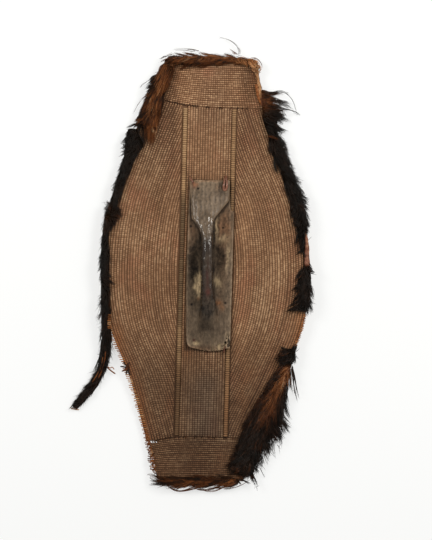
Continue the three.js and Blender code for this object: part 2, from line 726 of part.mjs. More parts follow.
const shield = new THREE.Group();
shield.add(meshOf("woven_panel", wovenPanel(), CANE));
shield.add(meshOf("bound_rod_left", rodGeometry(LEFT_ROD_X), PALE_CANE));
shield.add(meshOf("bound_rod_right", rodGeometry(RIGHT_ROD_X), PALE_CANE));

const handle = new THREE.Group();
handle.position.set(...BOARD_CENTRE, RIDGE + GAP);
handle.rotation.z = BOARD_TURN;
handle.updateMatrix();
handle.add(meshOf("handle_board", handleBoard(handle.matrix), DARK_WOOD));

// The lashing at the top right corner is whole. The other two have broken off short.
// Each is given as the radius of its cane and its route in the board's frame.
const LASHINGS = {
  lashing_top_right: {
    radius: 1.5,
    route: [
      [35.6, 224, GAP], [34.8, 220, 9], [34.6, 208, 14], [35.2, 194, 16], [35.4, 188, 12],
      [38.6, 188, 12], [40.4, 195, 15], [42.4, 208, 13], [43, 220, 9], [42.6, 224, GAP],
    ],
  },
  lashing_top_left: { radius: 1.6, route: [[-52, 221, GAP], [-50, 217, 7], [-46, 210, 11.5], [-40, 200, 13.5]] },
  lashing_bottom_right: {
    radius: 1.6,
    route: [[38.6, -218, GAP], [38.8, -216, 6], [40.4, -207, 9.6], [42, -200, 9.6]],
  },
};
for (const [name, { route, radius }] of Object.entries(LASHINGS)) {
  handle.add(meshOf(name, lashing(route, radius), RED_LASHING));
}
shield.add(handle);

for (const strip of hideStrips()) shield.add(strip);

export default shield;
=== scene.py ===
# A long woven cane shield lying on its outer face, seen from above: cane rows, a carved grip
# board between two bound rods, and strips of hide with their hair round the rim.
# Lengths are millimetres in the part's own frame until make_piece turns them into metres.
import math

import bpy
import numpy as np
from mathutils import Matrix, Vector
from mathutils.bvhtree import BVHTree
from mathutils.noise import fractal


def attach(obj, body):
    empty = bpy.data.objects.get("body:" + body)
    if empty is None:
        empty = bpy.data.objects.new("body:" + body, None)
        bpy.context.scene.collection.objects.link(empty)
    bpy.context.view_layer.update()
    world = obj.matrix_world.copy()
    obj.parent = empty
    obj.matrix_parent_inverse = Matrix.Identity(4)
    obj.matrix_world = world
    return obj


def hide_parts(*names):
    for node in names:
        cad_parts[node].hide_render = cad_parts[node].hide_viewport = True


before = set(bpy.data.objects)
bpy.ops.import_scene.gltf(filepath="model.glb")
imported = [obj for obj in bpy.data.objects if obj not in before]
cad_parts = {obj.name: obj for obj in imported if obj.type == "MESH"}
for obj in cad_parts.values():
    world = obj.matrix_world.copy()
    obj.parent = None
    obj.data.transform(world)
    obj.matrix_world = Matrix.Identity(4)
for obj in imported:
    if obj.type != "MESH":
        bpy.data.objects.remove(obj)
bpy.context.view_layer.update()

MM = 0.001

# The panel, as in the part's own source. A rim is (y, its distance from the middle).
RIGHT_RIM = [(-520, 110), (-400, 138), (-260, 199), (-130, 247), (0, 260), (150, 240), (280, 187),
             (410, 140), (522, 112)]
LEFT_RIM = [(-520, 107), (-400, 136), (-260, 183), (-130, 236), (0, 252), (150, 239), (280, 200),
            (410, 150), (522, 113)]
LOW_Y, HIGH_Y = -520.0, 522.0
HALF_LENGTH = (HIGH_Y - LOW_Y) / 2
FLAT_HALF_WIDTH, FLAT_HALF_LENGTH, RIM_HALF_WIDTH = 66.0, 330.0, 260.0
SIDE_RISE, SIDE_RISE_POWER, END_RISE = 26.0, 1.6, 12.0
# heights over the panel's underside
PLY, GROOVE, RIDGE = 4.5, 4.2, 7.2
TOP_SEAM, LOW_SEAM, SEAM_GAP, RIM_GAP = 408.0, -414.0, 0.6, 0.6
LEFT_CHANNEL, RIGHT_CHANNEL = (-67.0, -53.4), (57.4, 70.0)
ROD_X = {"left": -59.0, "right": 63.0}
ROD_WIDTH, ROD_HEIGHT, ROD_GAP = 11.0, 6.2, 3.0
ROW_PITCH, BAND_PITCH, WEFT_PITCH, TURN_PITCH = 6.5, 5.1, 5.0, 5.4
MIDDLE_ROWS, BAND_WEFTS, BACK_ROWS = 17, 46, 39
SIDE_ROWS = math.ceil((RIM_HALF_WIDTH + LEFT_CHANNEL[0]) / ROW_PITCH)
FIELD_LENGTH = TOP_SEAM - LOW_SEAM - 2 * SEAM_GAP
FIELD_WEFTS = round(FIELD_LENGTH / WEFT_PITCH)
# the long rows' length, near enough, by which they fade at their ends
FADE_LENGTH = 800.0
# holes in the low band: x, y, width, height
BROKEN = [(-139, -431, 15, 8), (-127, -430, 4, 4), (-121, -429, 4, 4), (-115, -429, 3, 4),
          (-109, -429, 3, 3)]


def through(t, v):
    """A smooth curve through the values v at places t, read at any array of places."""
    t, v = np.asarray(t, float), np.asarray(v, float)
    i = np.arange(len(t))
    after, before = np.minimum(i + 1, len(t) - 1), np.maximum(i - 1, 0)
    slope = (v[after] - v[before]) / (t[after] - t[before])

    def read(x):
        k = np.clip(np.searchsorted(t, x, side="right") - 1, 0, len(t) - 2)
        span = t[k + 1] - t[k]
        f = np.clip((x - t[k]) / span, 0, 1)
        bend = span * f * (1 - f) * (slope[k] * (1 - f) - slope[k + 1] * f)
        return v[k] + (v[k + 1] - v[k]) * f * f * (3 - 2 * f) + bend

    return read


def on_route(route, at):
    """A smooth curve through a route's places, which lie at steps 0, 1, 2 and so on."""
    return np.stack([through(range(len(route)), way)(at) for way in np.transpose(route)], -1)


right_rim, left_rim = (through(*np.transpose(rim)) for rim in (RIGHT_RIM, LEFT_RIM))


def rim_beside(x, y):
    """The rim's distance from the middle, on the side where x is."""
    return np.where(x > 0, right_rim(y), left_rim(y))


def dish(x, y):
    """Height of the panel's underside over the floor."""
    side = np.maximum(np.abs(x) - FLAT_HALF_WIDTH, 0) / (RIM_HALF_WIDTH - FLAT_HALF_WIDTH)
    end = np.maximum(np.abs(y) - FLAT_HALF_LENGTH, 0) / (HIGH_Y - FLAT_HALF_LENGTH)
    return SIDE_RISE * side**SIDE_RISE_POWER + END_RISE * end**2


def smooth(x, low, high):
    """A soft step from 0 at low to 1 at high."""
    f = np.clip((np.asarray(x, float) - low) / (high - low), 0, 1)
    return f * f * (3 - 2 * f)


def bell(x, middle, reach):
    return np.exp(-(((x - middle) / reach) ** 2))


def blob(x, y, cx, cy, rx, ry):
    """A soft spot: 1 at its centre and nothing a little beyond its radii."""
    return bell(x, cx, rx) * bell(y, cy, ry)


def spots(x, y, *rows):
    """Soft spots added up. A row is a strength and what blob takes."""
    return sum(strength * blob(x, y, *place) for strength, *place in rows)


def ripple(a, b, seed):
    """Slow wander between -1 and 1 over two coordinates."""
    total = 0.0
    for k in (1, 2, 3):
        p = seed * 1.7 + k * 2.3
        total = total + np.sin(a * 0.9 * k + p + 1.3 * np.sin(b * 0.7 * k + p * 2)) / k
    return total / 1.83


def unit(vectors):
    return vectors / np.maximum(np.linalg.norm(vectors, axis=-1, keepdims=True), 1e-9)


def make_piece(name, points, faces, values, material, node):
    """A smooth-shaded piece for a node, from points in millimetres with named values on them.

    faces is a list of index arrays, each holding faces with one count of corners.
    """
    mesh = bpy.data.meshes.new(name)
    sizes = np.concatenate([np.full(len(group), group.shape[1]) for group in faces])
    used, corners = np.unique(np.concatenate([group.ravel() for group in faces]), return_inverse=True)
    mesh.vertices.add(len(used))
    mesh.vertices.foreach_set("co", (points[used] * MM).astype(np.float32).ravel())
    mesh.loops.add(len(corners))
    mesh.loops.foreach_set("vertex_index", corners.astype(np.int32))
    mesh.polygons.add(len(sizes))
    mesh.polygons.foreach_set("loop_start", (np.cumsum(sizes) - sizes).astype(np.int32))
    mesh.polygons.foreach_set("use_smooth", np.ones(len(sizes), bool))
    for key, value in values.items():
        layer = mesh.attributes.new(key, "FLOAT", "POINT")
        layer.data.foreach_set("value", np.ravel(value)[used].astype(np.float32))
    mesh.update(calc_edges=True)
    mesh.validate()
    mesh.materials.append(material)
    piece = bpy.data.objects.new(name, mesh)
    bpy.context.scene.collection.objects.link(piece)
    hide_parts(node)
    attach(piece, "root")


def grid_faces(rows, columns, keep=slice(None)):
    """Quads of a rows by columns grid of points, where keep says which cells stay."""
    i, j = np.meshgrid(np.arange(rows - 1), np.arange(columns - 1), indexing="ij")
    a = i * columns + j
    return np.stack([a, a + columns, a + columns + 1, a + 1], -1)[keep].reshape(-1, 4)


def ring_faces(rings, around):
    """Quads round a row of rings of points."""
    i, j = np.meshgrid(np.arange(rings - 1), np.arange(around), indexing="ij")
    a, b = i * around + j, i * around + (j + 1) % around
    return np.stack([a, b, b + around, a + around], -1).reshape(-1, 4)


def sides_of(quads):
    """The directed edges of some quads, as pairs of points."""
    return np.concatenate([quads[:, [k, (k + 1) % 4]] for k in range(4)])


# Materials


class Graph:
    """Short names for making a material's nodes."""

    def __init__(self, name):
        self.material = bpy.data.materials.new(name)
        self.material.use_nodes = True
        self.tree = self.material.node_tree

    def fill(self, made, inputs):
        """Sets or links a node's inputs, given by name or by number."""
        for key, value in inputs.items():
            if isinstance(value, bpy.types.NodeSocket):
                self.tree.links.new(value, made.inputs[key])
            else:
                made.inputs[key].default_value = value

    def node(self, kind, inputs, **settings):
        made = self.tree.nodes.new("ShaderNode" + kind)
        for key, value in settings.items():
            setattr(made, key, value)
        self.fill(made, inputs)
        return made

    def attribute(self, name):
        return self.node("Attribute", {}, attribute_name=name).outputs["Fac"]

    def position(self, *scale):
        place = self.node("TexCoord", {}).outputs["Object"]
        if scale:
            place = self.node("Mapping", {"Vector": place, "Scale": scale}).outputs["Vector"]
        return place

    def noise(self, scale, detail=3.0, roughness=0.55, vector=None):
        vector = vector or self.position()
        inputs = {"Vector": vector, "Scale": scale, "Detail": detail, "Roughness": roughness}
        return self.node("TexNoise", inputs).outputs["Fac"]

    def math(self, operation, a, b, clamp=False):
        return self.node("Math", {0: a, 1: b}, operation=operation, use_clamp=clamp).outputs[0]

    def times(self, a, b, clamp=False):
        return self.math("MULTIPLY", a, b, clamp)

    def plus(self, a, b, clamp=False):
        return self.math("ADD", a, b, clamp)

    def between(self, value, low, high, to_low=0.0, to_high=1.0):
        inputs = {"Value": value, "From Min": low, "From Max": high, "To Min": to_low, "To Max": to_high}
        return self.node("MapRange", inputs, interpolation_type="SMOOTHSTEP").outputs["Result"]

    def ramp(self, value, stops):
        made = self.node("ValToRGB", {"Fac": value})
        elements = made.color_ramp.elements
        while len(elements) < len(stops):
            elements.new(0.5)
        for element, (place, colour) in zip(elements, stops):
            element.position = place
            element.color = (*colour, 1)
        return made.outputs["Color"]

    def mix(self, factor, a, b, blend="MIX"):
        """Two colours mixed. A Mix node has its colours at inputs 6 and 7 and at output 2."""
        inputs = {0: factor, 6: a, 7: (*b, 1) if isinstance(b, tuple) else b}
        return self.node("Mix", inputs, data_type="RGBA", blend_type=blend).outputs[2]

    def brightness(self, colour, factor):
        """The colour times a grey factor."""
        grey = self.node("CombineColor", {0: factor, 1: factor, 2: factor}).outputs["Color"]
        return self.mix(1.0, colour, grey, "MULTIPLY")

    def bump(self, height, distance, strength):
        inputs = {"Height": height, "Distance": distance, "Strength": strength}
        return self.node("Bump", inputs).outputs["Normal"]

    def finish(self, colour, roughness, **others):
        inputs = {"Base Color": colour, "Roughness": roughness}
        inputs.update((key.replace("_", " "), value) for key, value in others.items())
        self.fill(self.tree.nodes["Principled BSDF"], inputs)
        return self.material


def cane_material(name, dark, middle, light, red):
    """Aged cane: toned stitch by stitch, warm and dark in its grooves with dirt and painted shade, with worn
    pale crests.
    """
    g = Graph(name)
    fibre = g.noise(420.0, 2.0)
    mixed = g.plus(g.times(g.attribute("stitch"), 0.3), g.times(g.noise(9.0, 4.0), 0.4))
    colour = g.ramp(g.plus(mixed, 0.15), [(0.3, dark), (0.5, middle), (0.72, light)])
    reddish = g.between(g.noise(14.0, 3.0, 0.6, g.position(1.0, 0.7, 1.0)), 0.5, 0.72, 0.0, 0.5)
    colour = g.mix(reddish, colour, red)
    colour = g.mix(g.attribute("warm"), colour, (0.3, 0.115, 0.042))
    colour = g.mix(g.attribute("dust"), colour, (0.2, 0.155, 0.115))
    # dirt and painted shade in the grooves, darker the lower a point lies
    groove = g.between(g.attribute("depth"), 0.08, 0.95, 0.95, 0.0)
    colour = g.mix(groove, colour, (0.055, 0.024, 0.0105))
    colour = g.brightness(colour, g.attribute("shade"))
    colour = g.brightness(colour, g.between(fibre, 0.25, 0.75, 0.82, 1.18))
    rub = g.between(fibre, 0.3, 0.7, 0.62, 0.82)
    return g.finish(colour, rub, Normal=g.bump(fibre, 0.0006, 0.5), Specular_IOR_Level=0.2)


CANE = cane_material("woven_cane", (0.17, 0.087, 0.042), (0.28, 0.156, 0.083), (0.5, 0.325, 0.19),
                     (0.31, 0.13, 0.07))
PALE_CANE = cane_material("pale_cane", (0.2, 0.115, 0.055), (0.37, 0.23, 0.118), (0.52, 0.355, 0.195),
                          (0.28, 0.14, 0.07))


# Woven panel

RNG = np.random.default_rng(7)


def field_shade(x, y):
    """Broad light and dark of the panel: cleaner above, dirty below, darkest on the low band."""
    wide = np.abs(x)
    shade = 1.14 - 0.46 * smooth(-y, 60, 330) + 0.26 * smooth(y, 400, 425) + 0.06 * smooth(y, 180, 300)
    shade -= 0.05 * smooth(-y, 395, 430) + 0.1 * bell(x, -20, 60) * smooth(-y, 195, 235)
    shade -= 0.12 * smooth(y, 290, 350) * smooth(wide, 70, 90)
    shade -= 0.2 * bell(wide, 105, 22) * smooth(y, 425, 450)
    shade -= 0.13 * smooth(y, 220, 290) * smooth(-x, 60, 90)
    shade -= 0.08 * smooth(-x, 75, 95) * smooth(y, 150, 200)
    shade += 0.19 * bell(x, 92, 18) * (1 - smooth(np.abs(y), 150, 220))
    # a pale chip near the top edge
    shade += 1.1 * bell(x, -6, 9) * bell(y - 0.4 * (x + 6), 507, 3)
    # painted shadow round the board's edges, with grime where it sits on the rows
    near = np.maximum(np.maximum(np.abs(x - 11.5) - 56, np.abs(y - 14) - 212), 0)
    shade -= 0.4 * bell(near, 0, 3) + 0.1 * bell(near, 0, 14)
    return shade + 0.08 * ripple(x / 38, y / 30, 4)


def field_gaps(x, y):
    """How much dirt and painted shade darken the gaps between stitches: more at both ends, where the rows
    crowd together.
    """
    gaps = 0.94 + 0.42 * smooth(y, 190, 360) * smooth(np.abs(x), 66, 90) + 0.3 * smooth(y, 395, 425)
    gaps += 0.36 * smooth(-y, 395, 425) + 0.14 * smooth(-y, 180, 300)
    return gaps * (1 + 0.12 * ripple(x / 21, y / 33, 2))


def field_dust(x, y):
    """Greyer cane at the middle of the lower end."""
    low = bell(x, 12, 46) * smooth(-y, 225, 290) * (1 - smooth(-y, 405, 420))
    return np.clip(0.55 * low + 0.15 * bell(x, 10, 50) * smooth(y, 330, 390), 0, 1)


def field_warmth(x, y):
    """Orange-brown cane laid bare along the lower rims and in a few worn places."""
    left = smooth(-y, 80, 150) * (1 - 0.6 * smooth(-y, 400, 440))
    warm = bell(rim_beside(x, y) - np.abs(x), 0, 24) * np.where(x < 0, left, 0.8 * smooth(-y, 60, 110))
    warm += 0.7 * bell(x, 108, 14) * smooth(y, 440, 490) + 0.35 * bell(x, 20, 90) * smooth(-y, 425, 450)
    warm += spots(x, y, (0.45, 118, -300, 50, 85), (0.5, -40, -200, 14, 22), (0.3, -72, -320, 16, 60),
                  (0.3, -95, 480, 30, 50))
    return np.clip(warm * (0.75 + 0.35 * ripple(x / 9, y / 12, 8)), 0, 0.9)


def unbroken(x, y, margin):
    """False over the holes in the low band."""
    sound = np.ones(x.shape, bool)
    for hx, hy, wide, tall in BROKEN:
        sound &= (np.abs(x - hx) >= wide / 2 + margin) | (np.abs(y - hy) >= tall / 2 + margin)
    return sound


def weave(name, rows, wefts, place, slip):
    """A relief of rows crossed by wefts. place(u, v) gives x, y and how far the edge is.

    slip is how far the wefts of one row sit ahead of the next row's.
    """
    per_row, per_weft, run = 4, 3, 4
    u = np.arange(rows * per_row + 1) / per_row
    u, v = np.meshgrid(u, np.arange(wefts * per_weft + 1) / per_weft, indexing="ij")
    row, weft = np.floor(u).astype(int), np.floor(v).astype(int)
    # tones of single stitches, of short runs of them, and along whole rows
    one = RNG.random((rows + 2, wefts + 2))
    runs = RNG.random((rows + 2, wefts // run + 2))
    whole = RNG.random(rows + 2)
    first = RNG.integers(0, run, rows + 2)
    along = 0.5 + 0.5 * ripple(v / 16, row * 3.1, 6)
    stitch = 0.46 * one[row, weft] + 0.16 * runs[row, (weft + first[row]) // run]
    stitch += 0.2 * whole[row] + 0.18 * along
    parted = RNG.random(rows + 2) > 0.86
    x, y, edge = place(u + 0.11 * ripple(u * 2.1, v / 9, 2), v)
    gridded = smooth(-y, 190, 300) * (1 - smooth(-y, 408, 418))
    rowed = smooth(-y, 408, 418) + 0.4 * smooth(y, 402, 412)
    ridge = 1 - (1 - 0.3 * gridded) * (1 - np.abs(np.sin(np.pi * u)) ** 0.6)
    slipped = slip * (row % 2) * smooth(ripple(x / 47, y / 61, 9), -0.5, 0.3)
    bead = np.abs(np.sin(np.pi * (v + slipped + 0.12 * ripple(u, v / 5, 3)))) ** 0.9
    floor = 0.3 - 0.06 * gridded + 0.3 * rowed
    relief = ridge * (floor + (1 - floor) * bead) * (0.86 + 0.22 * one[row, weft])
    nearest = np.round(u).astype(int)
    opened = parted[nearest] * np.clip(0.5 + ripple(v / 17, nearest * 2.3, 5), 0, 1)
    relief *= 1 - 0.45 * opened * (np.abs(u - nearest) < 0.3)
    height = GROOVE + (RIDGE - GROOVE) * np.minimum(relief * smooth(edge, -0.8, 1.8), 1.0)
    points = np.stack([x, y, dish(x, y) + height], -1)
    values = {
        "depth": 1 - (1 - relief * (0.5 + 0.5 * smooth(edge, 0, 1.4))) * field_gaps(x, y),
        "stitch": stitch,
        "shade": field_shade(x, y),
        "warm": field_warmth(x, y),
        "dust": field_dust(x, y),
    }
    # cells squeezed flat against a channel are dropped
    spread = np.abs(np.diff(x, axis=0))[:, :-1] + np.abs(np.diff(y, axis=0))[:, :-1]
    quads = grid_faces(*u.shape, (spread > 0.05) & unbroken(x[:-1, :-1], y[:-1, :-1], 1))
    if np.cross(points[1, 0] - points[0, 0], points[0, 1] - points[0, 0])[2] < 0:
        quads = quads[:, ::-1]
    make_piece(name, points.reshape(-1, 3), [quads], values, CANE, "woven_panel")


def top_seam(x):
    return TOP_SEAM + 0.0008 * np.maximum(20 - x, 0) ** 2


def low_seam(x):
    return LOW_SEAM - 0.0011 * np.maximum(-10 - x, 0) ** 2


def field_y(x, v):
    """Height along the shield of weft v, bent to end at the two seams."""
    y = LOW_SEAM + SEAM_GAP + FIELD_LENGTH * v / FIELD_WEFTS
    y = y + (top_seam(x) - TOP_SEAM) * smooth(y, 250, 406)
    return y + (low_seam(x) - LOW_SEAM) * smooth(-y, 250, 412)


def from_ends(f, length):
    """How far a place is from the nearer end of a stretch that f runs along from 0 to 1."""
    return (0.5 - np.abs(f - 0.5)) * length


def side_place(side):
    """Rows that follow the rim of one side, cut off at the rod's channel."""
    rim, channel = (right_rim, RIGHT_CHANNEL[1]) if side > 0 else (left_rim, -LEFT_CHANNEL[0])

    def place(u, v):
        f = v / FIELD_WEFTS
        across = rim(LOW_SEAM + SEAM_GAP + FIELD_LENGTH * f) - RIM_GAP - u * ROW_PITCH
        across = np.maximum(across, channel)
        y = field_y(side * across, v)
        inside = np.minimum(across - channel, rim(y) - across + 0.4)
        return side * across, y, np.minimum(inside, from_ends(f, FADE_LENGTH))

    return place


def middle_place(u, v):
    """Straight rows between the two channels."""
    x = LEFT_CHANNEL[1] + u * (RIGHT_CHANNEL[0] - LEFT_CHANNEL[1]) / MIDDLE_ROWS
    return x, field_y(x, v), from_ends(v / FIELD_WEFTS, FADE_LENGTH)


def weave_band(name, low, high):
    """Rows across one end of the panel, ragged at the left of the low end."""
    rows = round((high - low) / BAND_PITCH)

    def place(u, v):
        f = u / rows
        y = low + (high - low) * f
        ragged = 6.5 * (0.5 + 0.5 * ripple(np.floor(u) * 5.3, 0, 12)) if low < 0 else 0.0
        first = -left_rim(y) + RIM_GAP + ragged
        x = first + (right_rim(y) - RIM_GAP - first) * v / BAND_WEFTS
        y = y + ((low_seam(x) - LOW_SEAM) * f if low < 0 else (top_seam(x) - TOP_SEAM) * (1 - f))
        return x, y, from_ends(f, high - low)

    weave(name, rows, BAND_WEFTS, place, 0.0)


def panel_back():
    """The ply under the rows: plain above, with plainer rows on the outer face, closed at the rim."""
    y = np.unique(np.concatenate([np.linspace(LOW_Y, HIGH_Y, 45), [-434, -432, -427, -426]]))
    s, y = np.meshgrid(np.linspace(-1, 1, 4 * BACK_ROWS + 1), y, indexing="ij")
    frayed = smooth(-y, 424, 430) * (3.5 + 2 * ripple(y, 0, 15))
    x = np.where(s < 0, s * (left_rim(y) - frayed), s * right_rim(y))
    base = dish(x, y)
    groove = 1 - np.abs(np.sin(np.pi * BACK_ROWS / 2 * (s + 1))) ** 0.7
    inner = smooth(1 - np.abs(s), 0.0, 0.02)
    top = np.stack([x, y, base + PLY - 0.6 * (1 - inner)], -1)
    under = np.stack([x, y, base + groove * inner + 0.9 * (1 - inner)], -1)
    count = x.size
    upper = grid_faces(*x.shape, unbroken((x[1:, 1:] + x[:-1, :-1]) / 2, (y[1:, 1:] + y[:-1, :-1]) / 2, 0))
    # a wall joins the two faces along every edge that only one quad has
    edges = sides_of(upper)
    rim = edges[~np.isin(edges @ [count, 1], edges @ [1, count])]
    quads = [upper, upper[:, ::-1] + count, np.concatenate([rim, rim[:, ::-1] + count], 1)]
    # the ply's top, seen through gaps, channels and seams, has a low depth and so is darkened there as
    # painted shade and dirt
    values = {
        "depth": np.concatenate([np.full(count, 0.3), (1 - groove).ravel()]),
        "stitch": RNG.random(2 * count),
        "shade": np.tile(field_shade(x, y).ravel(), 2),
        "warm": np.full(2 * count, 0.1),
        "dust": np.zeros(2 * count),
    }
    points = np.concatenate([top, under]).reshape(-1, 3)
    make_piece("panel_ply", points, quads, values, CANE, "woven_panel")


def bound_rod(side):
    """A rod under a close binding of cane, each turn a low round ring."""
    low, length = LOW_SEAM + ROD_GAP, TOP_SEAM - LOW_SEAM - 2 * ROD_GAP
    turns = round(length / TURN_PITCH)
    per_turn, around = 4, 9
    n = turns * per_turn + 1
    a = np.linspace(-0.18 * math.pi, 1.18 * math.pi, around)
    t, a = np.meshgrid(np.arange(n) / per_turn, a, indexing="ij")
    y = low + length * t / turns
    tone = RNG.random(turns + 2)[np.floor(t).astype(int)]
    swell = np.abs(np.sin(np.pi * t)) ** 0.6
    radius = 1 - 0.16 * (1 - swell) - 0.05 * tone
    x = ROD_X[side] + (ROD_WIDTH / 2) * radius * np.cos(a) + 0.5 * ripple(t / 30, 0, 6)
    lift = PLY + 0.3 + (ROD_HEIGHT + 0.2) * np.clip(0.32 + 0.68 * np.sin(a) * radius, 0, None)
    points = np.stack([x, y, dish(x, y) + lift], -1).reshape(-1, 3)
    # the ring is closed under the rod, and so are its two ends
    i = np.arange(n - 1) * around
    under = np.stack([i, i + around, i + 2 * around - 1, i + around - 1], -1)
    ends = np.array([np.arange(around), np.arange((n - 1) * around, n * around)[::-1]])
    # pale above, darker beside the board as painted shade of the board, paler and then redder below; the
    # right rod varies less
    down = -y
    # worn sets the rod's brightness here, and its dip beside the board is painted shade
    if side == "left":
        worn = 1.06 - 0.66 * smooth(down, -215, -160) + 0.42 * smooth(down, 120, 155)
        worn -= 0.44 * smooth(down, 222, 290)
        warm = 0.3 * smooth(down, 222, 262)
    else:
        worn = 0.92 - 0.34 * smooth(down, -245, -200) + 0.24 * smooth(down, 190, 225)
        worn -= 0.2 * smooth(down, 300, 400)
        warm = 0.12 + 0.4 * smooth(down, 190, 360)
    worn = worn * (0.92 + 0.14 * tone + 0.1 * ripple(t / 9, 0, 3))
    values = {"depth": 0.1 + 0.85 * swell, "stitch": 0.35 + 0.3 * tone, "shade": worn, "warm": warm,
              "dust": 0 * t}
    faces = [grid_faces(n, around)[:, ::-1], under, ends]
    make_piece(f"bound_rod_{side}_turns", points, faces, values, PALE_CANE, f"bound_rod_{side}")


weave("weave_right", SIDE_ROWS, FIELD_WEFTS, side_place(1), 0.5)
weave("weave_left", SIDE_ROWS, FIELD_WEFTS, side_place(-1), 0.5)
weave("weave_middle", MIDDLE_ROWS, FIELD_WEFTS, middle_place, 0.0)
weave_band("weave_band_top", TOP_SEAM + SEAM_GAP, HIGH_Y - RIM_GAP)
weave_band("weave_band_low", LOW_Y + RIM_GAP, LOW_SEAM - SEAM_GAP)
panel_back()
bound_rod("left")
bound_rod("right")


# Solids read back

TREES = {}
# heights from which a ray falls, and from which the nearest point is looked for
ABOVE, BESIDE = 200, 12


def read_all(things, key, kind, width):
    """One value of everything in a Blender collection, a row for each."""
    values = np.empty(len(things) * width, kind)
    things.foreach_get(key, values)
    return values.reshape(-1, width)


def tree_of(node):
    """A node's solid, ready for rays."""
    if node not in TREES:
        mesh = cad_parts[node].data
        mesh.calc_loop_triangles()
        points = read_all(mesh.vertices, "co", np.float32, 3).astype(float) / MM
        triangles = read_all(mesh.loop_triangles, "vertices", np.int32, 3)
        TREES[node] = BVHTree.FromPolygons(points.tolist(), triangles.tolist())
    return TREES[node]


def hit_below(tree, x, y):
    """Where a line straight down meets a surface, or None."""
    return tree.ray_cast(Vector((x, y, ABOVE)), Vector((0, 0, -1)))[0]


def on_surface(tree, places):
    """The point of a surface under each place, or the nearest one to it."""
    found = [hit_below(tree, x, y) or tree.find_nearest(Vector((x, y, BESIDE)))[0] for x, y in places]
    return np.array(found)


def roof_of(node, x, y):
    """Height of a solid's top over each place, and 0 where it isn't there."""
    hits = [hit_below(tree_of(node), *place) for place in zip(x, y)]
    return np.array([hit.z if hit else 0.0 for hit in hits])


def eased(points, quads, rounds, pull=0.6):
    """Every point drawn towards the middle of its neighbours, some rounds over."""
    a, b = np.unique(np.sort(sides_of(quads), axis=1), axis=0).T
    count = np.bincount(a, minlength=len(points)) + np.bincount(b, minlength=len(points))
    for _ in range(rounds):
        total = [np.bincount(a, way[b], len(way)) + np.bincount(b, way[a], len(way)) for way in points.T]
        points = points + pull * (np.transpose(total) / np.maximum(count, 1)[:, None] - points)
    return points


def point_normals(points, quads):
    a, b, c, d = (points[quads[:, k]] for k in range(4))
    face = np.cross(c - a, d - b)
    total = [sum(np.bincount(quads[:, k], way, len(points)) for k in range(4)) for way in face.T]
    return unit(np.transpose(total))


def remeshed(node, voxel, rounds):
    """The node's solid as even small quads with eased corners: points, normals, quads."""
    carrier = bpy.data.objects.new("carrier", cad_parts[node].data.copy())
    bpy.context.scene.collection.objects.link(carrier)
    change = carrier.modifiers.new("even", "REMESH")
    change.mode = "VOXEL"
    change.voxel_size = voxel * MM
    made = carrier.evaluated_get(bpy.context.evaluated_depsgraph_get()).to_mesh()
    points = read_all(made.vertices, "co", np.float32, 3).astype(float) / MM
    quads = read_all(made.loops, "vertex_index", np.int32, 1).reshape(-1, 4)
    bpy.data.objects.remove(carrier)
    points = eased(points, quads, rounds)
    return points, point_normals(points, quads), quads


def rough(points, size, octaves, seed, along=1.0):
    """Fractal noise at each point, size in millimetres, drawn out along Y where along is small."""
    start = Vector((seed * 13.1, seed * 7.7, seed * 3.3))
    return np.array([fractal(Vector(p) / size + start, 0.7, 2.1, octaves) for p in points * [1, along, 1]])


# Grip board

BOARD_CENTRE, BOARD_TURN = (10.8, 15.0, 7.3), math.radians(0.9)
BOARD_VOXEL = 1.76
# the lashing holes, in the board's frame
LASHING_HOLES = [(-30, 190), (-47, 96), (33, 93), (-43, -98), (41, -94), (43, -193)]
# a nick at the low end: x, y and its radii
NICK = (-22, -173, 3, 3)


def board_place(route):
    """Board-frame points in the part's frame."""
    x, y, z = np.transpose(route)
    c, s = math.cos(BOARD_TURN), math.sin(BOARD_TURN)
    return np.stack([c * x - s * y, s * x + c * y, z], -1) + BOARD_CENTRE


def wood_material():
    """Grey-brown wood with black stains and painted shade, pale patches partly painted light, rusty patches,
    and a dark hand polish on the bar.
    """
    g = Graph("dark_wood")
    grain = g.noise(22.0, 5.0, 0.6, g.position(1.0, 0.2, 1.0))
    mottle = g.noise(30.0, 6.0, 0.7)
    fine = g.noise(260.0, 3.0, 0.6, g.position(1.0, 0.3, 1.0))
    tone = g.plus(g.times(grain, 0.45), g.times(mottle, 0.55))
    stops = [(0.32, (0.05, 0.035, 0.022)), (0.5, (0.112, 0.08, 0.053)), (0.7, (0.2, 0.15, 0.105))]
    colour = g.ramp(tone, stops)
    colour = g.mix(g.attribute("brown"), colour, (0.125, 0.068, 0.037))
    for name, limits, stain in (
        ("cream", (0.25, 0.5, 0.1, 1.0), (0.6, 0.45, 0.27)),
        ("rust", (0.35, 0.58), (0.24, 0.115, 0.055)),
        ("soot_and_shade", (0.3, 0.62, 1.1, 0.6), (0.0095, 0.006, 0.0037)),
    ):
        colour = g.mix(g.times(g.attribute(name), g.between(mottle, *limits), True), colour, stain)
    polished = g.attribute("polish")
    handled = g.times(polished, g.between(grain, 0.35, 0.65, 0.95, 0.6), True)
    colour = g.mix(g.times(handled, g.attribute("bar")), colour, (0.011, 0.006, 0.0045))
    colour = g.mix(g.times(g.attribute("red"), 0.8, True), colour, (0.1, 0.026, 0.018))
    matte = g.math("SUBTRACT", 1.0, polished, True)
    speckle = g.times(g.math("SUBTRACT", fine, 0.5), g.plus(g.times(matte, 1.2), 0.3))
    colour = g.brightness(colour, g.plus(speckle, 1.0))
    colour = g.brightness(colour, g.attribute("edge"))
    rub = g.plus(g.between(mottle, 0.3, 0.7, 0.55, 0.76), g.times(polished, -0.44), True)
    bumps = g.times(g.plus(g.times(fine, 0.5), grain), g.plus(matte, 0.15))
    gloss = g.between(polished, 0.0, 1.0, 0.18, 0.5)
    return g.finish(colour, rub, Normal=g.bump(bumps, 0.001, 0.45), Specular_IOR_Level=gloss)


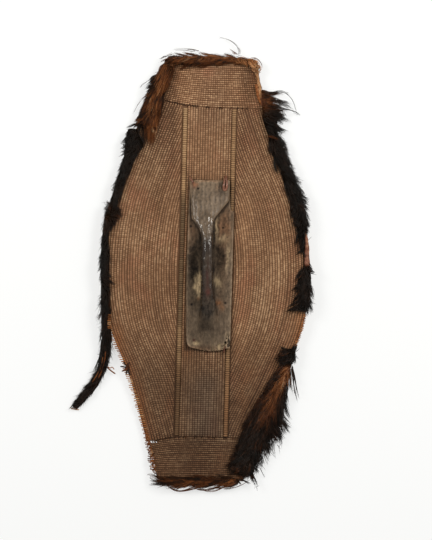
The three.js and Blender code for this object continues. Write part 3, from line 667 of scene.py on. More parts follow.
def board_stains(points, quads, bar, foot, top, broken, fine):
    """Where the board is stained black and in painted shade, pale with wear and painted light, rusty, brown,
    red, polished, and lit or dark at an edge.
    """
    normals = point_normals(points, quads)
    convex = ((points - eased(points, quads, 8)) * normals).sum(1)
    x, y, z = points.T
    warp = 7 * rough(points, 30.0, 3, 5)
    streak, streaky = rough(points, 7.0, 3, 9, 0.25), rough(points, 4.0, 3, 13, 0.2)
    u, v = x + warp + 3 * streak, y + warp
    low = 1 - smooth(z, 18, 25)
    side = 1 - smooth(normals[:, 2], 0.2 + 0.4 * bar, 0.6 + 0.33 * bar)
    beside = np.maximum(np.abs(x - 6.6 + 0.03 * (y - 15)) - 12, 0)
    mottled = 0.5 + 0.75 * smooth(rough(points, 7.0, 3, 11), -0.45, 0.4)
    # painted shadow, mottled, in the upper parts of the two hollows beside the grip
    soot_and_shade = mottled * spots(u, v, (2.0, -27, 32, 13, 34), (1.8, 37, 46, 11, 22), (0.6, 36, 16, 12, 20))
    # painted shadow beside the bar's neck, and a darker patch low in the left hollow
    soot_and_shade += spots(u, v, (0.9, 20, 92, 6, 30), (0.6, -28, -20, 12, 22), (0.9, -14, 80, 6, 30))
    # painted shadow of the bar along both its sides, where it stands over the hollow
    soot_and_shade += 2.2 * bell(beside, 0, 4.2) * smooth(y, -98, -70) * (1 - smooth(y, 92, 118))
    # painted shade round the top right lashing's hole and on the bill below the grip
    soot_and_shade = low * (soot_and_shade + 0.9 * blob(x, y, 37.5, 204, 8, 20)) + 0.35 * blob(u, v, 9, -150, 26, 22) * top
    # painted shade on the grip's foot and on every face that turns to the side
    soot_and_shade += 1.35 * blob(u, v, 9, -100, 18, 40) * smooth(z, 14.2, 20) + 1.3 * side
    # dark splinters, and painted shadow along the board's low edge
    soot_and_shade += 0.8 * broken * smooth(-fine, -0.1, 0.3) + 0.5 * smooth(-y, 192, 200)
    # painted shade in the lashing holes
    holes = board_place([(*hole, 0) for hole in LASHING_HOLES])
    soot_and_shade += spots(x, y, *[(1.8, *hole[:2], 2.8, 2.8) for hole in holes])
    # pale patches; the two large ones, below the hollows, are hand wear and painted light on slopes that
    # face the light
    creamy = spots(u, v, (4.5, -15, -36, 6.5, 22), (0.9, 31, -27, 8, 13), (0.4, 38, 80, 14, 8),
                   (0.6, 27, 112, 4, 22), (0.35, 57, 40, 2.5, 34))
    pale = 0.9 * broken * smooth(fine, 0.0, 0.3) * top + 0.5 * blob(x, y, -16, -181, 9, 4)
    rusty = spots(u, v, (1.2, -17, -66, 6, 10), (1.1, 34, -80, 11, 8), (0.6, 44, -92, 8, 8),
                  (0.8, -34, 214, 8, 7), (0.5, 6, 225, 30, 3), (0.25, 57, 120, 6, 30),
                  (0.35, 28, 205, 10, 10))
    brown = spots(u, v, (1.1, 45, 112, 18, 50), (0.7, -34, 100, 12, 40), (0.4, 45, 0, 14, 90))
    brown += 0.6 * blob(x, y, 12, -194, 55, 8)
    red = spots(x, y, (0.9, 10, -52, 6, 9), (0.35, 8, -20, 6, 40)) * smooth(z, 30, 36)
    red += 0.6 * blob(u, v, -34, 212, 7, 7) * top + 0.9 * blob(x, y, *NICK)
    # darker over the low half and on the bar, with painted shade high in the right hollow and on the bill
    darker = 0.12 * smooth(-y, -60, 20) + 0.1 * low * smooth(x, 24, 40) * smooth(y, 40, 90) + 0.1 * bar
    darker += 0.14 * blob(x, y, 10, -125, 26, 34)
    # painted light on convex edges and painted shade in concave ones, grain streaks, and streaks along the
    # bar that are grain and painted sheen
    edge = 1 + (1.6 - 1.2 * foot - 1.5 * bar) * convex + 0.2 * streak + 0.5 * bar * streaky - darker
    polish = bar * (0.75 + 0.8 * streaky) + 0.6 * smooth(z, 16, 24) * top * smooth(y, 30, 60)
    return {
        "soot_and_shade": np.clip(soot_and_shade, 0, 1),
        "bar": bar * smooth(y, -80, -50) * (1 - smooth(y, 70, 96)),
        "cream": np.clip(low * creamy + pale, 0, 1),
        "rust": np.clip(low * rusty, 0, 1),
        "brown": np.clip(low * brown, 0, 1),
        "red": red,
        "polish": np.clip(polish, 0, 1),
        "edge": np.clip(edge, 0.35, 2.1),
    }


def grip_board():
    """The carved board: the solid eased, roughened, worn by the hand and splintered at its edges."""
    points, normals, quads = remeshed("handle_board", BOARD_VOXEL, 2)
    x, y, z = points.T
    # the foot of the grip runs out softly into the board
    foot = smooth(-y, 80, 115) * smooth(z, 11, 13) * (1 - smooth(-y, 185, 195))
    foot = foot * (1 - smooth(np.abs(x - 10), 36, 44))
    points = points + foot[:, None] * (eased(points, quads, 70) - points)
    wander, fine = rough(points, 26.0, 4, 1), rough(points, 5.0, 3, 2, 0.4)
    x, y, z = points.T
    # the bar is rounded by use
    bar = smooth(z, 26, 36)
    points = points + bar[:, None] * (eased(points, quads, 12) - points)
    top = smooth(normals[:, 2], 0.2, 0.8)
    # splinters lost along the low right edge, and a nibbled edge all round
    splintered = 0.4 * smooth(-y, 188, 199) + spots(
        x, y, (1, 52, -186, 18, 9), (0.9, 62, -172, 5, 14), (0.45, -36, 224, 16, 5), (0.6, -17, -181, 9, 5))
    broken = splintered * smooth(fine, -0.3, 0.2)
    push = (0.6 * wander + 0.2 * fine) * (1 - 0.75 * bar) - 4.0 * broken - 1.8 * blob(x, y, *NICK)
    push += (2.1 - 1.8 * top + rough(points, 8.0, 3, 12, 0.6)) * bar
    points = points + normals * np.clip(push, -4.2, 2.2)[:, None]
    # the fan's knife marks
    points[:, 2] += top * 0.22 * np.sin(x * 0.55 + 2.2 * wander) * smooth(y, 40, 120)
    # the bar's top is worn to a flat facet between two long edges, found from its height step by step
    step, steps, first = 6.0, 41, -120.0
    crest = np.full(steps, -100.0)
    np.maximum.at(crest, np.clip(((y - first) / step).astype(int), 0, steps - 1), z)
    flat = through(first + step * (np.arange(steps) + 0.5), crest)(y) - 2.0
    worn = (z > flat) & (y > -95) & (y < 105)
    points[:, 2] = np.where(worn, flat + 0.75 * (points[:, 2] - flat), points[:, 2])
    values = board_stains(points, quads, bar, foot, top, broken, fine)
    make_piece("grip_board_carved", points, [quads], values, wood_material(), "handle_board")


def tube(route, radius, around=8, per_step=6):
    """A round cord through a route, tapering to blunt ends: points, quads, ends, way along."""
    last = len(route) - 1
    fine = np.linspace(0, last, last * per_step + 1)
    path = on_route(route, fine)
    along = unit(np.gradient(path, axis=0))
    side = unit(np.cross(along, [0.31, 0.05, 0.95]))
    up = np.cross(side, along)
    s = fine / last
    if np.ndim(radius):
        radius = through(range(last + 1), radius)(fine)
    size = radius * np.clip(np.minimum(s, 1 - s) * 12 + 0.55, 0, 1)
    a = np.linspace(0, 2 * math.pi, around, endpoint=False)[None, :, None]
    points = path[:, None] + size[:, None, None] * (np.cos(a) * side[:, None] + np.sin(a) * up[:, None])
    ends = np.array([np.arange(around), (len(path) - 1) * around + np.arange(around)[::-1]])
    faces = ring_faces(len(path), around)[:, [0, 3, 2, 1]]
    return points.reshape(-1, 3), faces, ends, np.repeat(s, around)


# radius, tone and route of each lashing, in the board's frame
LASHINGS = {
    "lashing_top_right": ((1.2, 1.4, 2.2, 3.0, 3.2, 3.0, 3.0, 2.2, 1.4, 1.2), 0.5, [
        (37.4, 224, 0.3), (36.8, 220, 9), (35.0, 208, 14), (33.6, 197, 16), (34.0, 188, 12),
        (39.0, 188, 12), (41.4, 197, 15), (41.2, 208, 13), (40.0, 220, 9), (39.6, 224, 0.3),
    ]),
    "lashing_top_left": (
        (1.2, 1.5, 2.2, 2.4), 0.35, [(-52, 221, 0.3), (-50, 217, 7), (-46, 210, 11.5), (-42, 203, 13)]),
    "lashing_bottom_right": (
        1.4, 0.1, [(38.6, -218, 0.3), (38.8, -216, 6), (40.4, -207, 9.6), (42, -200, 9.6)]),
}


def lashings():
    """The reddish cane loop at the board's top right, and what is left of two more."""
    g = Graph("red_lashing")
    streak = g.noise(300.0, 3.0, 0.6)
    tone = g.plus(g.times(streak, 0.6), g.times(g.attribute("tone"), 0.5))
    stops = [(0.25, (0.035, 0.011, 0.006)), (0.5, (0.11, 0.032, 0.016)), (0.85, (0.3, 0.14, 0.09))]
    red = g.finish(g.ramp(tone, stops), 0.36, Normal=g.bump(streak, 0.0005, 0.4))
    for node, (radius, tone, route) in LASHINGS.items():
        points, quads, ends, along = tube(board_place(route), radius)
        # paler towards the middle of each cord: a painted highlight
        values = {"tone": tone + 0.4 * np.sin(math.pi * along) ** 2}
        make_piece(node + "_cord", points, [quads, ends], values, red, node)


grip_board()
lashings()


# Hide and hair

HIDE_VOXEL = 3.6
# Hairs seen from above: x, y, reach in x, reach in y, and the tones at root and tip in hundredths,
# from black (0) through brown and russet to straw (100).
TOP_FLOW = [
    (62, 538, -30, 5, 35, 50), (14, 545, -44, 2, 35, 50), (-26, 545, -46, 0, 35, 45),
    (-52, 543, -40, -1, 30, 40), (-76, 539, -30, -8, 30, 38), (-90, 531, -24, -14, 35, 40),
    (-98, 524, -16, -18, 35, 30), (84, 520, -26, -10, 40, 50), (48, 520, -34, -12, 40, 55),
    (4, 518, -32, -14, 35, 50), (-44, 518, -34, -22, 35, 50), (-70, 520, -28, -24, 40, 50),
    (77, 532, -42, 5, 50, 55), (35, 538, -50, 1, 45, 55), (-14, 535, -50, -6, 35, 60),
    (-60, 532, -40, -12, 45, 55), (52, 527, -33, -9, 35, 60), (-18, 525, -20, -13, 30, 50),
    (-36, 526, -30, -20, 40, 30), (22, 528, -34, -16, 50, 35),
]
UPPER_LEFT_FLOW = [
    (-166, 370, -20, -14, 15, 10), (-172, 358, -16, -8, 5, 0), (-178, 347, 2, -30, 0, 5),
    (-171, 340, 8, -32, 0, 10), (-163, 330, 4, -30, 0, 10), (-172, 342, -6, 8, 0, 0),
    (-160, 344, 8, 4, 0, 5), (-183, 342, -22, 10, 0, 0), (-93, 513, -24, -42, 38, 56),
    (-114, 508, -19, -55, 50, 64), (-96, 475, -23, -63, 38, 56), (-134, 474, -25, -13, 15, 10),
    (-138, 486, -16, -13, 15, 15), (-128, 437, -19, -59, 42, 50), (-149, 411, -24, -34, 25, 15),
    (-160, 386, -24, -26, 35, 60), (-135, 378, -11, -50, 40, 65), (-116, 433, -15, -59, 30, 50),
    (-147, 344, 5, -33, 45, 60), (-173, 377, -12, -21, 15, 10), (-104, 526, -14, -40, 40, 55),
    (-112, 520, -16, -30, 45, 60), (-98, 518, -10, -44, 35, 50), (-86, 524, -8, -52, 35, 50),
    (-82, 520, -8, -30, 30, 45), (-92, 500, -12, -50, 30, 50), (-104, 450, -14, -50, 30, 50),
    (-120, 404, -14, -48, 35, 55), (-150, 366, 0, -50, 35, 55), (-157, 356, 0, -38, 30, 50),
    (-143, 366, -1, -62, 40, 60), (-137, 370, -2, -70, 40, 60),
]
LEFT_FLOW = [
    (-164, 337, 8, -32, 0, 5), (-186, 340, -7, -14, 0, 0), (-185, 326, -3, -29, 0, 5),
    (-199, 308, -14, 0, 0, 0), (-177, 283, -17, -36, 0, 5), (-208, 254, -10, -25, 0, 0),
    (-201, 226, -13, -43, 0, 5), (-217, 189, -10, -32, 0, 0), (-241, 139, -15, 14, 10, 15),
    (-230, 139, 22, -7, 10, 20), (-222, 114, -17, -25, 0, 20), (-247, 110, -6, -29, 10, 10),
    (-250, 74, -7, -22, 0, 0), (-242, 60, 3, -36, 0, 5), (-250, 21, -1, -42, 0, 0),
    (-236, -29, 17, -12, 0, 10), (-248, -59, -2, -46, 0, 5), (-242, -121, -5, -42, 10, 10),
    (-232, -171, -3, -42, 0, 10), (-252, -205, -7, -42, 0, 0), (-255, -255, -20, -26, 10, 10),
    (-279, -289, -28, -34, 10, 10), (-299, -323, -13, -14, 0, 10), (-310, -338, -8, -9, 0, 15),
]
RIGHT_FLOW = [
    (141, 446, 38, 4, 35, 15), (148, 438, 56, -14, 30, 10), (151, 430, 60, -22, 30, 8),
    (154, 401, 50, -21, 10, 5), (153, 363, 40, -8, 0, 5), (172, 332, 26, -12, 0, 5),
    (184, 310, 20, -17, 0, 5), (193, 287, 17, -16, 0, 5), (204, 260, 16, -18, 0, 5),
    (134, 451, 18, -1, 50, 20), (142, 444, 39, 6, 40, 12), (139, 426, 29, 1, 75, 20),
    (150, 412, 47, -9, 45, 5), (154, 394, 40, -10, 10, 5), (158, 373, 36, -17, 0, 0),
    (151, 359, 11, -18, 0, 0), (170, 341, 26, -24, 0, 0), (149, 323, 4, -32, 0, 10),
    (174, 309, 29, -24, 0, 0), (182, 281, 25, -17, 0, 5), (186, 252, 33, -17, 0, 0),
    (201, 228, 33, -31, 0, 0), (213, 192, 37, -31, 0, 0), (164, 280, 12, -35, 0, 10),
    (191, 224, 12, -43, 0, 10), (210, 167, -3, -14, 0, 10), (218, 160, -10, -18, 0, 10),
    (239, 150, 15, -32, 0, 0), (229, 129, -10, -15, 0, 10), (226, 100, -4, -36, 0, 10),
    (235, 64, -10, -18, 0, 10), (242, 50, 12, -28, 0, 10), (254, 22, 15, -17, 0, 10),
    (236, 14, -13, -36, 0, 10), (251, -7, -6, -36, 5, 10), (262, -28, 10, -32, 0, 10),
    (245, -42, -13, -33, 0, 10), (256, -60, 15, -35, 0, 0), (242, -78, -42, -17, 0, 10),
    (247, -84, -38, -8, 0, 5), (240, -70, -34, -18, 0, 5), (234, -12, -18, -32, 0, 5),
    (233, -44, -16, -32, 0, 5),
]
LOWER_RIGHT_FLOW = [
    (218, -191, -33, -22, 0, 5), (231, -199, 1, -21, 0, 5), (205, -188, -14, 6, 0, 5),
    (212, -194, -28, -10, 0, 5), (220, -206, -30, -8, 0, 5), (224, -214, -28, -4, 0, 5),
    (228, -188, 4, 8, 0, 0), (217, -234, -16, -24, 85, 70), (211, -246, -24, -48, 80, 55),
    (196, -275, -26, -52, 70, 50), (182, -303, -24, -50, 60, 50), (168, -330, -26, -46, 50, 45),
    (198, -236, -26, -36, 30, 15), (180, -270, -26, -42, 25, 12), (162, -306, -26, -42, 15, 10),
    (222, -240, -2, -50, 12, 5), (216, -268, -4, -50, 6, 3), (206, -296, -2, -50, 5, 2),
    (212, -321, 12, -46, 5, 0), (192, -326, -8, -46, 8, 3), (196, -355, 26, -32, 10, 0),
    (150, -340, -30, -40, 10, 6), (140, -372, -30, -38, 6, 4), (166, -372, -20, -44, 20, 5),
    (182, -388, 22, -33, 5, 0), (205, -372, 18, -26, 5, 0), (162, -406, 14, -45, 5, 0),
    (134, -412, -30, -34, 5, 10), (128, -390, -28, -46, 5, 0), (124, -448, -30, -32, 5, 10),
    (134, -440, -28, -42, 0, 5), (146, -439, 1, -46, 0, 0), (118, -470, -34, -30, 5, 12),
    (122, -473, -30, -24, 5, 20), (139, -484, 10, -14, 0, 0), (104, -484, -34, -22, 10, 25),
    (98, -496, -28, -12, 15, 30), (114, -492, -20, -16, 8, 15), (124, -492, -12, -22, 6, 20),
    (116, -498, -18, -14, 10, 25), (116, -486, 2, -30, 8, 15), (124, -488, 0, -26, 6, 20),
    (110, -488, 2, -30, 10, 25), (130, -486, 6, -16, 5, 5), (134, -335, -22, -34, 12, 30),
    (124, -362, -24, -34, 10, 25), (116, -390, -22, -34, 10, 20), (106, -418, -24, -32, 10, 25),
    (96, -442, -24, -28, 12, 30), (84, -466, -24, -20, 15, 35), (178, -262, -22, -34, 30, 20),
    (158, -298, -22, -36, 25, 25),
]
BOTTOM_FLOW = [
    (138, -506, -34, -22, 12, 28), (118, -520, -40, -10, 20, 32), (40, -528, -46, -14, 30, 50),
    (-30, -530, -42, -12, 30, 45), (96, -524, -40, -14, 25, 40), (60, -514, -34, 6, 20, 35),
    (20, -512, -36, 4, 25, 40), (-36, -514, -36, 3, 25, 30), (100, -512, -34, 5, 12, 25),
    (128, -510, -34, -8, 12, 25), (120, -506, -30, -12, 8, 20), (104, -513, -49, -19, 28, 48),
    (133, -519, -43, -12, 15, 28), (54, -507, -53, -23, 32, 52), (1, -512, -53, -16, 32, 52),
    (-17, -527, -49, -19, 38, 56), (-53, -517, -50, -1, 28, 25), (-82, -518, -40, -8, 28, 20),
    (-82, -511, -38, 4, 28, 20), (-78, -525, -42, -10, 28, 20), (89, -495, -50, -9, 12, 25),
    (19, -540, -36, -1, 42, 56),
]


def ground(x, y):
    """Lowest height a hair may lie at: on the rows inside the rim, sinking to the floor beyond."""
    rim = rim_beside(x, y)
    beyond = np.maximum(np.abs(x) - rim, 0) + np.maximum(np.abs(y) - HALF_LENGTH, 0)
    return np.maximum(dish(np.clip(x, -rim, rim), np.clip(y, LOW_Y, HIGH_Y)) + 8.0 - 0.7 * beyond, 1.0)


def hair_material(name, gloss, rub, russet=(0.14, 0.043, 0.012), pale=(0.33, 0.125, 0.04)):
    g = Graph(name)
    streak = g.times(g.math("SUBTRACT", g.noise(90.0, 2.0), 0.5), 0.12)
    stops = [(0.0, (0.0045, 0.0032, 0.0022)), (0.28, (0.03, 0.012, 0.005)), (0.52, russet), (0.78, pale),
             (1.0, (0.52, 0.34, 0.19))]
    return g.finish(g.ramp(g.plus(g.attribute("tone"), streak, True), stops), rub, Specular_IOR_Level=gloss)


BLACK_HAIR = hair_material("black_hair", 0.28, 0.4)
RUSSET_HAIR = hair_material("russet_hair", 0.14, 0.48)
BAST = hair_material("orange_bast", 0.1, 0.5, (0.17, 0.06, 0.02), (0.6, 0.27, 0.11))
HIDE_SKIN = hair_material("hide_skin", 0.03, 0.95, (0.11, 0.043, 0.027), (0.24, 0.115, 0.078))


def flow_at(table, places):
    """Direction, reach and tones at each place, blended from the nearest entries."""
    middle = table[:, :2] + 0.3 * table[:, 2:4]
    weight = 1 / (((places[:, None, :2] - middle) ** 2).sum(2) + 20) ** 2
    weight /= weight.sum(1, keepdims=True)
    reach = np.hypot(table[:, 2], table[:, 3])
    way = unit(weight @ (table[:, 2:4] / reach[:, None]))
    return way, weight @ np.clip(reach, 16, 52), *(weight @ table[:, 4:]).T


def strands(name, path, width, root_tone, tip_tone, material, node):
    """Closed three-sided hairs along (hair, ring, xyz) paths, each ending in a point."""
    count, rings, _ = path.shape
    along = unit(np.gradient(path, axis=1))
    side = unit(np.cross(along, [0.0, 0.0, 1.0]))[:, :, None]
    up = np.cross(side, along[:, :, None])
    s = np.linspace(0, 1, rings)
    size = width[:, None] / 2 * (1 - s) ** 0.55 * (0.75 + 0.6 * s)
    a = (math.pi / 2 + np.arange(3) * 2 * math.pi / 3)[:, None]
    ring = path[:, :, None] + size[:, :, None, None] * (np.cos(a) * side + 0.7 * np.sin(a) * up)
    points = np.concatenate([ring[:, :-1].reshape(count, -1, 3), path[:, -1:]], 1)
    per = points.shape[1]
    last = per - 4
    caps = np.array([[2, 1, 0]] + [[last + k, last + (k + 1) % 3, per - 1] for k in range(3)])
    shift = (np.arange(count) * per)[:, None, None]
    tone = root_tone[:, None] + (tip_tone - root_tone)[:, None] * np.append(np.repeat(s[:-1], 3), 1)
    faces = [(ring_faces(rings - 1, 3) + shift).reshape(-1, 4), (caps + shift).reshape(-1, 3)]
    make_piece(name, points.reshape(-1, 3), faces, {"tone": np.clip(tone, 0, 1)}, material, node)


def tucked(points, keep):
    """Skin drawn in beneath its hair: what hangs outside the rim keeps only part of its reach."""
    x, y, z = points.T
    rim, end = rim_beside(x, y) + 3, HALF_LENGTH + 3
    x = np.sign(x) * np.where(np.abs(x) > rim, rim + keep * (np.abs(x) - rim), np.abs(x))
    y = np.sign(y) * np.where(np.abs(y) > end, end + keep * (np.abs(y) - end), np.abs(y))
    return np.stack([x, y, z], -1)


def nowhere(x, y):
    return 0 * x


def bare_right(x, y):
    """Skin rubbed bare on the outer edge at mid height, and beside the top band."""
    middle = smooth(x, 243, 248) * smooth(y, 14, 26) * (1 - smooth(y, 96, 112))
    edge = 126 + 0.1 * (440 - y)
    return middle + 0.75 * smooth(y, 410, 418) * (1 - smooth(x, edge, edge + 5))


def fan_right(x, y):
    """Where the right strip's hair thins out into separate locks."""
    return smooth(y, 350, 375)


def bare_left(x, y):
    """The cut end of the loose tail, and skin showing along the strip's inner edge."""
    inner = smooth(x, -237, -233) * smooth(y, -110, -80) * (1 - smooth(y, 60, 90))
    return 1 - smooth(np.hypot(x + 314, y + 352), 3, 8) + 0.55 * inner


def inside_length(node, root, angle, length, spare):
    """Lengths cut so that a hair ends near the solid's outline seen from above."""
    kept = length.copy()
    for k, (p, a, whole) in enumerate(zip(root, angle, length)):
        for part in (1.0, 0.8, 0.62, 0.46, 0.32):
            x, y = p[0] + math.cos(a) * whole * part, p[1] + math.sin(a) * whole * part
            if hit_below(tree_of(node), x, y):
                break
        kept[k] = min(whole, whole * part + spare[k])
    return kept


def hide_skin(node, table, bare, tuck, inset):
    """The strip's hide, eased from the solid and drawn in beneath its hair: its points and quads."""
    skin, normals, quads = remeshed(node, HIDE_VOXEL, 8)
    skin = tucked(skin - normals * [inset, inset, 0.5], tuck)
    bald = bare(skin[:, 0], skin[:, 1])
    worn = 0.72 + 0.3 * rough(skin, 9.0, 3, 3)
    tone = flow_at(table, skin)[2] * 0.5 * (1 - bald) + worn * bald
    make_piece(node + "_skin", skin, [quads], {"tone": tone}, HIDE_SKIN, node)
    return skin, quads


def hide_strip(node, flow, hairs, seed, slot, bare=nowhere, thin=nowhere, width=1.25, per_tuft=26,
               tuck=0.6, mixed=0.06, ruffle=1.0, fuzz=0.12, shag=1.0, inset=1.0):
    """A strip of hide under hairs that lie as the flow says, with longer locks standing out.

    tuck is the share of its reach that skin keeps beyond the rim, and inset how deep it lies in the
    solid. mixed is how far tones differ, ruffle how untidy the hair is, fuzz the share of hairs that
    stand any way, and shag how far ends may pass the outline.
    """
    rng = np.random.default_rng(seed)
    material = BLACK_HAIR if slot == "black_hair" else RUSSET_HAIR
    table = np.array(flow) / [1, 1, 1, 1, 100, 100]
    skin, quads = hide_skin(node, table, bare, tuck, inset)

    centre = skin[quads].mean(1)
    across = np.cross(skin[quads[:, 2]] - skin[quads[:, 0]], skin[quads[:, 3]] - skin[quads[:, 1]])
    area = np.linalg.norm(across, axis=1)
    upward = across[:, 2] / (area + 1e-9)
    weight = area * np.clip(upward + 0.35, 0.1, 1.0) * np.clip(1 - bare(*centre.T[:2]), 0.02, 1)
    pick = rng.choice(len(quads), hairs, p=weight / weight.sum())
    root = (skin[quads[pick]] * rng.dirichlet([1.0] * 4, hairs)[:, :, None]).sum(1)
    way, reach, root_tone, tip_tone = flow_at(table, root)

    # hairs gather in clumps that share a heading, and some stand out any way as fuzz
    heads = rng.choice(hairs, hairs // 16, replace=False)
    owner = heads[np.argmin(((root[:, None, :2] - root[None, heads, :2]) ** 2).sum(2), axis=1)]
    stray = rng.normal(0, 0.14, hairs) + rng.normal(0, 0.22, hairs)[owner]
    loose = rng.random(hairs) < fuzz
    angle = np.arctan2(way[:, 1], way[:, 0]) + ruffle * stray + loose * rng.normal(0, 1.3, hairs)
    length = reach * rng.uniform(0.6, 1.15, hairs) * (0.8 + 0.35 * rng.random(hairs)[owner])
    length = np.where(loose, 0.4, 1.0) * length * (1 - 0.45 * thin(*root.T[:2]))
    spare = shag * rng.gamma(1.0, 3.6, hairs) * (0.3 + 1.4 * rng.random(hairs)[owner])
    length = inside_length(node, root, angle, length, spare)
    heading = np.stack([np.cos(angle), np.sin(angle)], -1)
    sideways = heading[:, ::-1] * [-1, 1]
    curl = ruffle * (rng.normal(0, 0.09, hairs) + rng.normal(0, 0.12, hairs)[owner])
    s = np.linspace(0, 1, 4)
    bent = s[None, :, None] * heading[:, None] + (curl[:, None] * s**2)[:, :, None] * sideways[:, None]
    flat = root[:, None, :2] + length[:, None, None] * bent
    # the free ends of a clump draw together
    lead = flat[owner, -1] - flat[:, -1]
    lead *= np.minimum(1, 9 / (np.linalg.norm(lead, axis=1, keepdims=True) + 1e-9))
    flat = flat + 0.5 * s[None, :, None] ** 2 * lead[:, None] * ~loose[:, None, None]
    lift = rng.uniform(0.8, 3.2, hairs) * (0.6 + 0.8 * rng.random(hairs)[owner])
    z = root[:, None, 2] + 0.3 * upward[pick, None] + lift[:, None] * np.sin(math.pi * s * 0.8)
    z = z - 0.06 * length[:, None] * s**2
    z = np.maximum(z, ground(flat[..., 0], flat[..., 1]) + rng.uniform(0, 1.6, hairs)[:, None] * (s > 0.1))
    spread = rng.normal(0, 0.05 + 0.5 * mixed, hairs) + rng.normal(0, mixed, hairs)[owner]
    path = np.concatenate([flat, z[..., None]], -1)
    strands(node + "_hair", path, width * rng.uniform(0.6, 1.25, hairs), root_tone + spread,
            tip_tone + spread, material, node)
    locks(node, table, per_tuft, skin, quads, 0.8 * width, mixed, material, rng)


def locks(node, table, per_tuft, skin, quads, width, mixed, material, rng):
    """The locks seen standing out from the rest, a tuft for each entry of the flow."""
    which = np.repeat(np.arange(len(table)), per_tuft)
    n = len(which)
    from_here, reach = table[which, :2], table[which, 2:4]
    start = from_here + rng.normal(0, 3.0, (n, 2))
    end = from_here + reach + 0.35 * (start - from_here) + rng.normal(0, 0.8, (n, 2))
    foot = on_surface(BVHTree.FromPolygons(skin.tolist(), quads.tolist()), start)
    start, roof = foot[:, :2], foot[:, 2:]
    way = (end - start) * rng.uniform(0.6, 1.08, n)[:, None]
    bow = (rng.normal(0, 0.04, n) + rng.normal(0, 0.05, len(table))[which])[:, None] * way[:, ::-1] * [-1, 1]
    s = np.linspace(0, 1, 5)
    arch = np.sin(math.pi * s)
    flat = start[:, None] + way[:, None] * s[:, None] + bow[:, None] * arch[:, None]
    base = ground(flat[..., 0], flat[..., 1])
    over = roof * (1 - s) + base[:, -1:] * s + rng.uniform(1, 3, (n, 1)) * arch
    z = np.maximum(base + rng.uniform(0, 3, (n, 1)), over)
    z[:, 0] = foot[:, 2] - 0.5
    shade = rng.normal(0, 0.04 + 0.5 * mixed, n)
    path = np.concatenate([flat, z[..., None]], -1)
    strands(node + "_locks", path, width * rng.uniform(0.6, 1.2, n), table[which, 4] + shade,
            table[which, 5] + shade, material, node)


hide_strip("hide_strip_left", LEFT_FLOW, 3800, 21, "black_hair", bare_left, width=1.15, tuck=1.0,
           fuzz=0.18, shag=1.9)
hide_strip("hide_strip_right", RIGHT_FLOW, 4100, 22, "black_hair", bare_right, fan_right, 1.2, 34,
           fuzz=0.16, shag=1.5, inset=2.0)
hide_strip("hide_strip_lower_right", LOWER_RIGHT_FLOW, 4600, 23, "black_hair", per_tuft=36, tuck=0.8,
           mixed=0.09, ruffle=0.75, shag=1.7, inset=3.2)
hide_strip("hide_strip_upper_left", UPPER_LEFT_FLOW, 2900, 24, "russet_hair", per_tuft=34, mixed=0.14,
           ruffle=0.4, fuzz=0.06)
hide_strip("hide_strip_top", TOP_FLOW, 2300, 25, "russet_hair", per_tuft=40, mixed=0.14, ruffle=0.4,
           fuzz=0.06)
hide_strip("hide_strip_bottom", BOTTOM_FLOW, 1700, 26, "russet_hair", per_tuft=44, mixed=0.12,
           ruffle=0.45, fuzz=0.06)


# Frayed edges and loose ends


def cords(name, routes, node, around=5, per_step=3):
    """Several short cords in one mesh. A route is (radius, tone, [(x, y, z), ...])."""
    points, quads, ends, tones, start = [], [], [], [], 0
    for radius, tone, route in routes:
        p, q, e, along = tube(route, radius, around, per_step)
        points.append(p)
        quads.append(q + start)
        ends.append(e + start)
        tones.append(np.clip(tone + 0.08 * np.sin(40 * along + start), 0, 1))
        start += len(p)
    points, quads, ends, tones = map(np.concatenate, (points, quads, ends, tones))
    make_piece(name, points, [quads, ends], {"tone": tones}, RUSSET_HAIR, node)


def on_rows(x, y, above):
    return float(dish(x, y)) + above


def rim_stubs():
    """Ends of snapped wefts along the bare lower rims."""
    rng = np.random.default_rng(31)
    for y in np.arange(-497, -112, 4.6):
        x = max(-float(left_rim(y)), -233.0)
        low = y < -415
        reach = rng.uniform(4.5, 10.5) + (2.0 if low else 0) * rng.random()
        reach = 0.5 * reach if y > -150 else reach
        drop = rng.normal(-0.4, 1.6 if low else 0.8)
        z = on_rows(x, y, 3.6 if y < -150 else 14.0)
        tone = rng.uniform(0.3, 0.6) if low else rng.uniform(0.62, 0.95)
        yield rng.uniform(1.1, 1.6), tone, [
            (x + 5, y, z + 1.2), (x + 1, y, z + 2.2), (x - reach * 0.55, y + drop * 0.5, z + 1.4),
            (x - reach, y + drop, z)]
    for y in np.arange(-186, -100, 4.2):
        x = float(right_rim(y))
        reach = rng.uniform(0.5, 2.6)
        z = on_rows(x, y, 3.8)
        yield rng.uniform(1.0, 1.6), rng.uniform(0.5, 0.85), [
            (x - 6, y + rng.normal(0, 1.5), z + 2.4), (x - 2, y, z + 3), (x + reach * 0.5, y, z + 1.8),
            (x + reach, y + rng.normal(0, 1), z)]


def band_frays():
    """Broken ends that curl out of the low band's left edge."""
    rng = np.random.default_rng(37)
    for y in np.arange(-508, -414, 1.9):
        x = -float(left_rim(y)) + rng.uniform(-1, 5)
        z = on_rows(x, y, 6.4)
        turn = rng.uniform(0, 2 * math.pi)
        size = rng.uniform(1.6, 3.8)
        yield rng.uniform(0.6, 1.1), rng.uniform(0.3, 0.95), [
            (x + 2 - size * k * 0.9 + size * math.cos(turn + 2 * k), y + size * math.sin(turn + 2 * k),
             z + 1.6 * math.sin(k + turn) - 0.6 * k) for k in range(4)]


